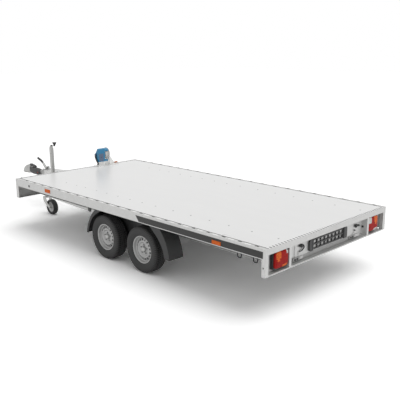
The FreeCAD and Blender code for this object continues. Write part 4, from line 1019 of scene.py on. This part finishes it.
def addCoupling():
    # the handle, the boot with its round damper and red button, and the breakaway cable's loop
    handle = Piece("couplingHandle", "black_plastic")
    bar = roundedBox((-20, -26), (20, 12), 8)
    path = curve(coupling["handle"], 30) + [nose, 0, 0]
    thick = np.interp(np.linspace(0, 1, 30), [0, 0.15, 0.7, 1], [0.7, 1.0, 0.95, 1.0])
    handle.add(carried(bar, path, (0, 0, 1), thick), blackPlastic)
    handle.done(["coupling_handle"], 40)

    # boot: radius(along) follows a few given radii, with folds where it bends
    low, high = corners("bellows")
    along = np.linspace(0, 1, 60)
    folds = coupling["foldDeep"] * np.cos(along * 2 * math.pi * coupling["folds"])
    boot = np.interp(along, coupling["bootPlaces"], coupling["bootRadii"])
    boot = boot + folds * np.interp(along, [0.35, 0.45, 0.9, 1], [0, 1, 1, 0])
    profile = np.stack([low[0] + along * (high[0] - low[0]), np.minimum(boot, max(coupling["bootRadii"]))], 1)
    spot = np.array([low[0] + coupling["damperX"], 0, coupling["bootZ"]])
    cover = Piece("couplingBoot", "black_rubber")
    cover.add(turned(profile, "x", (0, 0, coupling["bootZ"]), 56), bootRubber)
    damper = [(0, 44)] + [(high[1] + place, radius) for place, radius in coupling["damper"]]
    cover.add(turned(damper, "y", spot, 40), bootRubber)
    cover.add(turned(coupling["button"], "y", spot + [0, high[1], 0], 20), redPaint)
    cover.done(["bellows"], 34)
    hoop = Piece("safetyCableLoop", "zinc_casting")
    loop = curve(coupling["loop"], 24) + [low[0], 0, 0]
    hoop.add(carried(circle(coupling["loopRadius"], 10), loop, (0, 1, 0)), brightZinc)
    hoop.done()


lever = {
    "outline": [(0, 4), (32, 2), (126, 86), (104, 111), (2, 36)], "corners": [8, 8, 10, 10, 8],
    "grip": [(6, 0, 10), (60, 0, 40), (108, 0, 56)], "gripEnd": (-6, 0, -12), "gripRadius": 15,
    "gripTall": 1.3, "waves": 5, "waveShare": 0.06,
}


def addLever():
    # two cheeks with a darker core between them, painted shade in the gap, and a waved grip
    low = corners("handbrake_lever")[0]
    y = middle("handbrake_lever")[1]
    arm = Piece("handbrakeLever", "zinc_casting")
    outline = roundedOutline(lever["outline"], lever["corners"], 5) + [low[0], low[2]]
    arm.add(extruded(outline, "y", y + 3, y + 10), zinc)
    arm.add(extruded(outline, "y", y - 10, y - 3), zinc)
    arm.add(extruded((outline - outline.mean(0)) * 0.9 + outline.mean(0), "y", y - 3, y + 3), darkSteel)
    arm.done(["handbrake_lever"], 40)
    gripLow, gripHigh = corners("handbrake_grip")
    start, end = [gripLow[0], y, gripLow[2]], [gripHigh[0], y, gripHigh[2]]
    path = curve(np.concatenate([np.add(lever["grip"], start), [np.add(lever["gripEnd"], end)]]), 26)
    oval = circle(lever["gripRadius"], 20) * [1, lever["gripTall"]]
    waves = 1 + lever["waveShare"] * np.cos(np.linspace(0, 1, 26) * 2 * math.pi * lever["waves"])
    grip = Piece("handbrakeGrip", "black_plastic")
    grip.add(carried(oval, path, (0, 0, 1), waves), blackPlastic)
    grip.done(["handbrake_grip"], 40)


addHead()
addCoupling()
addLever()


# Jockey wheel: tyre, rim and crank
jockey = {
    "crownDrop": 17, "crownPower": 3.4, "line": 12, "lineHalf": 2.4, "lineDeep": 1.8,
    "rim": [(18, 22), (10, 34), (10, 52), (16, 62), (23, 70), (24, 75)],
    "cap": [(-2, 12), (10, 12), (12, 9), (12.5, 0.01)], "knobFromEnd": 31,
    "knob": [(6, 9), (14, 12), (30, 18), (46, 27), (54, 31)],
    "bolt": [(-1, 7), (5, 7), (6, 0.01)], "boltZ": 950,
}


def addJockeyWheel():
    # tyre: radius(t) = outer - drop * |t|^power over t from -1 to 1, with two fine lines
    low, high = corners("jockey_tyre")
    centre = middle("jockey_tyre")
    half = (high[1] - low[1]) / 2
    t = np.linspace(-1, 1, 31)
    crown = (high[2] - low[2]) / 2 - jockey["crownDrop"] * np.abs(t) ** jockey["crownPower"]
    across = half * np.sin(t * math.pi / 2)
    crown -= jockey["lineDeep"] * (np.abs(np.abs(across) - jockey["line"]) < jockey["lineHalf"])
    outside = np.stack([across, crown], 1)
    profile = np.concatenate([[(-22, 74), (2 - half, 90)], outside, [(half - 2, 90), (22, 74)]])
    rubber = Piece("jockeyTyre", "tyre", "jockey_wheel")
    rubber.add(turned(profile, "y", centre, 72, True), tyreRubber)
    rubber.done(["jockey_tyre"], 34)
    wheel = Piece("jockeyRim", "wheel_silver", "jockey_wheel")
    halfProfile = [(half + 2, 9), (half + 2, 17), (half - 1, 19)] + jockey["rim"]
    profile = [(-along, radius) for along, radius in halfProfile] + halfProfile[::-1]
    wheel.add(turned(profile, "y", centre, 64, True), wheelPaint)
    wheel.done(["jockey_rim"], 30)


def addJockeyCrank():
    # a flat arm from the tube's cap to a knob, and a bolt on the tube
    low, high = corners("jockey_crank")
    y = middle("jockey_crank")[1]
    tubeX = middle("jockey_tube")[0]
    tubeHigh = corners("jockey_tube")[1]
    top = tubeHigh[2]
    knobX = low[0] + jockey["knobFromEnd"]
    crank = Piece("jockeyCrank", "black_plastic")
    arm = curve([(tubeX + 8, y, top + 5), (tubeX - 40, y, top + 6), (knobX, y, top + 5)], 10)
    crank.add(carried(roundedBox((-8, -4), (8, 4), 3, 3), arm), darkSteel)
    crank.add(turned(jockey["cap"], "z", (tubeX, y, top), 20), darkSteel)
    end = high[2] - top
    knob = jockey["knob"] + [(end - 2, 31), (end, 27), (end - 1, 0.01)]
    crank.add(turned(knob, "z", (knobX, y, top), 36), blackPlastic)
    crank.done(["jockey_crank"], 34)
    bolt = Piece("jockeyBolt", "zinc_casting")
    bolt.add(turned(jockey["bolt"], "y", (tubeX, tubeHigh[1], jockey["boltZ"]), 6), zinc)
    bolt.done()


addJockeyWheel()
addJockeyCrank()
print("coupling and jockey wheel made")


# Winch: the drum with its wound strap, a blank plate and a screw on the cover, the hook on the strap's end
winch = {
    "right": -452, "left": -384, "axle": 9.8, "layers": 40, "turns": 9, "strapRadius": 70, "strapWave": 1.6,
    "label": ((-346, 782), (-262, 900)), "screw": [(0, 6), (-2.2, 6), (-3, 0.01)], "screwAt": (-307, 843),
    "boss": [(-1, 21), (3, 20), (4, 16)],
}


def addDrum():
    # a drum between two flanges; the strap's radius(along) = radius + wave * |sin(turns * pi * along)|
    low, high = corners("winch_drum")
    centre = middle("winch_drum") * [1, 0, 1]
    outer = (high[2] - low[2]) / 2
    right, left, axle = winch["right"], winch["left"], winch["axle"]
    drum = Piece("winchDrum", "zinc_casting", "winch_drum")
    shell = [(low[1], 0.01), (low[1], axle), (right, axle), (right, outer - 2), (right + 1, outer),
             (right + 4, outer), (right + 6, outer - 3), (right + 6, 66), (left - 5, 66), (left - 5, 73),
             (left, 75), (left, axle), (high[1], axle), (high[1], 0.01)]
    drum.add(turned(shell, "y", centre, 72), paleZinc)
    along = np.linspace(0, 1, winch["layers"])
    radius = winch["strapRadius"] + winch["strapWave"] * np.abs(np.sin(along * math.pi * winch["turns"]))
    strap = np.stack([right + 8 + along * (left - right - 15), radius], 1)
    strap = np.concatenate([[(strap[0, 0], 60)], strap, [(strap[-1, 0], 60)]])
    drum.add(turned(strap, "y", centre, 72, True), strapWeb)
    drum.done(["winch_drum"], 34)


def addWinchTrim():
    # a blank label, a screw and the crank's boss on the cover, and the hook
    low, high = corners("winch_cover")
    trim = Piece("winchTrim", "black_plastic")
    label = roundedBox(*winch["label"], 5)
    trim.add(extruded(label, "x", low[0] - 0.8, low[0] + 1), greyLabel)
    trim.add(turned(winch["screw"], "x", (low[0], *winch["screwAt"]), 12), darkSteel)
    axle = middle("winch_drum")
    trim.add(turned(winch["boss"], "y", (axle[0], high[1], axle[2]), 32), darkSteel)
    trim.done()

    low, high = corners("winch_hook")
    x, z = (low[0] + high[0]) / 2, low[2]
    hook = Piece("winchHook", "orange_hook")
    path = curve([(x, high[1] + 4, z + 12), (x, high[1] - 22, z + 14), (x, low[1] + 10, z + 14),
                  (x, low[1] + 1, z + 11)], 26)
    thick = np.interp(np.linspace(0, 1, 26), [0, 0.2, 0.8, 1], [0.7, 1, 1, 0.7])
    hook.add(carried(roundedBox((-12, -8), (12, 8), 5), path, (0, 0, 1), thick), orangePaint)
    hook.done(["winch_hook"], 40)


crankShape = {
    "shaft": 9.8, "back": 36, "thick": 10, "gripAt": (-84, -140),
    "arm": [(-14, 4), (14, 4), (13, -44), (-22, -104), (-78, -146), (-90, -134), (-40, -88), (-13, -40)],
    "corners": [4, 4, 20, 22, 5, 5, 16, 16],
    "hub": [(0, 16), (10, 16), (11, 12), (11.5, 0.01)],
    "grip": [(10, 8), (12, 9), (33, 9), (35.5, 7), (36, 0.01)],
}


def addCrank():
    # a shaft through the cover, a hub, and a bent flat arm that ends in a small handle
    low, high = corners("winch_crank")
    axle = middle("winch_drum")
    inner = high[1] - crankShape["back"]
    r = crankShape["shaft"]
    crank = Piece("winchCrank", "dark_steel", "winch_crank")
    shaft = [(low[1] - inner, 0.01), (low[1] - inner, r), (0, r)] + crankShape["hub"]
    crank.add(turned(shaft, "y", (axle[0], inner, axle[2]), 32), greyLabel)
    arm = roundedOutline(crankShape["arm"], crankShape["corners"], 6) + [axle[0], axle[2]]
    crank.add(extruded(arm, "y", inner, inner + crankShape["thick"]), darkSteel)
    across, upwards = crankShape["gripAt"]
    spot = (axle[0] + across, inner, axle[2] + upwards)
    crank.add(turned(crankShape["grip"], "y", spot, 24), blackPlastic)
    crank.done(["winch_crank"], 34, 1)


addDrum()
addWinchTrim()
addCrank()
print("winch made")


# Small round holes and bolt heads on the frame; profiles are (out of the face, radius)
bolt = {
    "hole": [(-1, 8), (0.5, 8), (0.5, 5.5), (0.1, 0.01)], "holeX": 22, "holeDrop": 180,
    "side": [(-1, 6), (2.5, 6), (3, 0.01)], "sideBack": 30, "sideDrop": 20, "sideRise": 18,
    "top": [(-1, 9), (4, 9), (5, 6), (5.2, 0.01)],
    "topAt": ((4450, 861), (4482, 990), (4447, 1003), (4482, 416)),
}


def addBolts():
    bolts = Piece("frameBolts", "dark_steel")
    half, top = deck["half"], deck["top"]
    # painted shade: a dark rubber disc drawn in the hole in each rear post
    bolts.pair(turned(bolt["hole"], "y", (bolt["holeX"], half, top - bolt["holeDrop"]), 16), rubberAndPaintedShade)
    for z in (top - bolt["sideDrop"], deck["railLow"] + bolt["sideRise"]):
        bolts.pair(turned(bolt["side"], "y", (deck["front"] - bolt["sideBack"], half, z), 6), zinc)
    for x, y in bolt["topAt"]:
        bolts.pair(turned(bolt["top"], "z", (x, y, top), 8), screwSteel)
    bolts.done()


addBolts()


# Studio: a pale floor that keeps the shadow, a white surround and one soft lamp overhead
studio = {
    "world": 0.52, "lampEnergy": 1.25, "lampSpread": 55, "lampTurn": (14, -16, 0),
    "floorSeen": 1.32, "floorBounce": 0.80, "floorHalf": 60,
}


def makeStudio():
    # the surround is white where it is seen or mirrored, and dimmer where it only lights
    world = bpy.data.worlds.new("softSurround")
    bpy.context.scene.world = world
    w = Nodes(world)
    seen = w.seen("Transmission", "Glossy")
    strength = w.node("ShaderNodeMapRange", None, {"Value": seen, "To Min": studio["world"], "To Max": 1.0})
    light = w.node("ShaderNodeBackground", None, {"Color": rgb(1), "Strength": strength})
    w.node("ShaderNodeOutputWorld", None, {"Surface": light})

    f = newFinish("studioFloor")
    colour = f.blend(f.seen("Glossy"), rgb(studio["floorBounce"]), rgb(studio["floorSeen"]))
    diffuse = f.node("ShaderNodeBsdfDiffuse", None, {"Color": colour})
    f.node("ShaderNodeOutputMaterial", None, {"Surface": diffuse})
    reach = studio["floorHalf"]
    mesh = bpy.data.meshes.new("studioFloor")
    outline = [(-reach, -reach, 0), (reach, -reach, 0), (reach, reach, 0), (-reach, reach, 0)]
    mesh.from_pydata(outline, [], [(0, 1, 2, 3)])
    mesh.materials.append(f.owner)
    ground = linked("studioFloor", mesh)

    sun = bpy.data.lights.new("overheadLamp", "SUN")
    sun.energy = studio["lampEnergy"]
    sun.angle = math.radians(studio["lampSpread"])
    linked("overheadLamp", sun).rotation_euler = [math.radians(turn) for turn in studio["lampTurn"]]


cameraView = {"place": (-6.278, 5.035, 2.402), "yaw": -0.7812, "pitch": -0.2416, "roll": -0.0058,
              "lens": 53.85}


def makeCamera():
    yaw, pitch, roll = cameraView["yaw"], cameraView["pitch"], cameraView["roll"]
    ahead = np.array([math.cos(yaw) * math.cos(pitch), math.sin(yaw) * math.cos(pitch), math.sin(pitch)])
    right = np.cross(ahead, [0, 0, 1])
    right /= np.linalg.norm(right)
    up = np.cross(right, ahead)
    tiltedRight = right * math.cos(roll) + up * math.sin(roll)
    tiltedUp = up * math.cos(roll) - right * math.sin(roll)
    turn = np.stack([tiltedRight, tiltedUp, -ahead], 1)
    data = bpy.data.cameras.new("photoCamera")
    data.lens = cameraView["lens"]
    data.clip_end = 300
    camera = linked("photoCamera", data)
    camera.matrix_world = Matrix.Translation(cameraView["place"]) @ Matrix(turn.tolist()).to_4x4()
    bpy.context.scene.camera = camera


makeStudio()
makeCamera()
bpy.context.scene.view_settings.view_transform = "Standard"
print("studio ready")
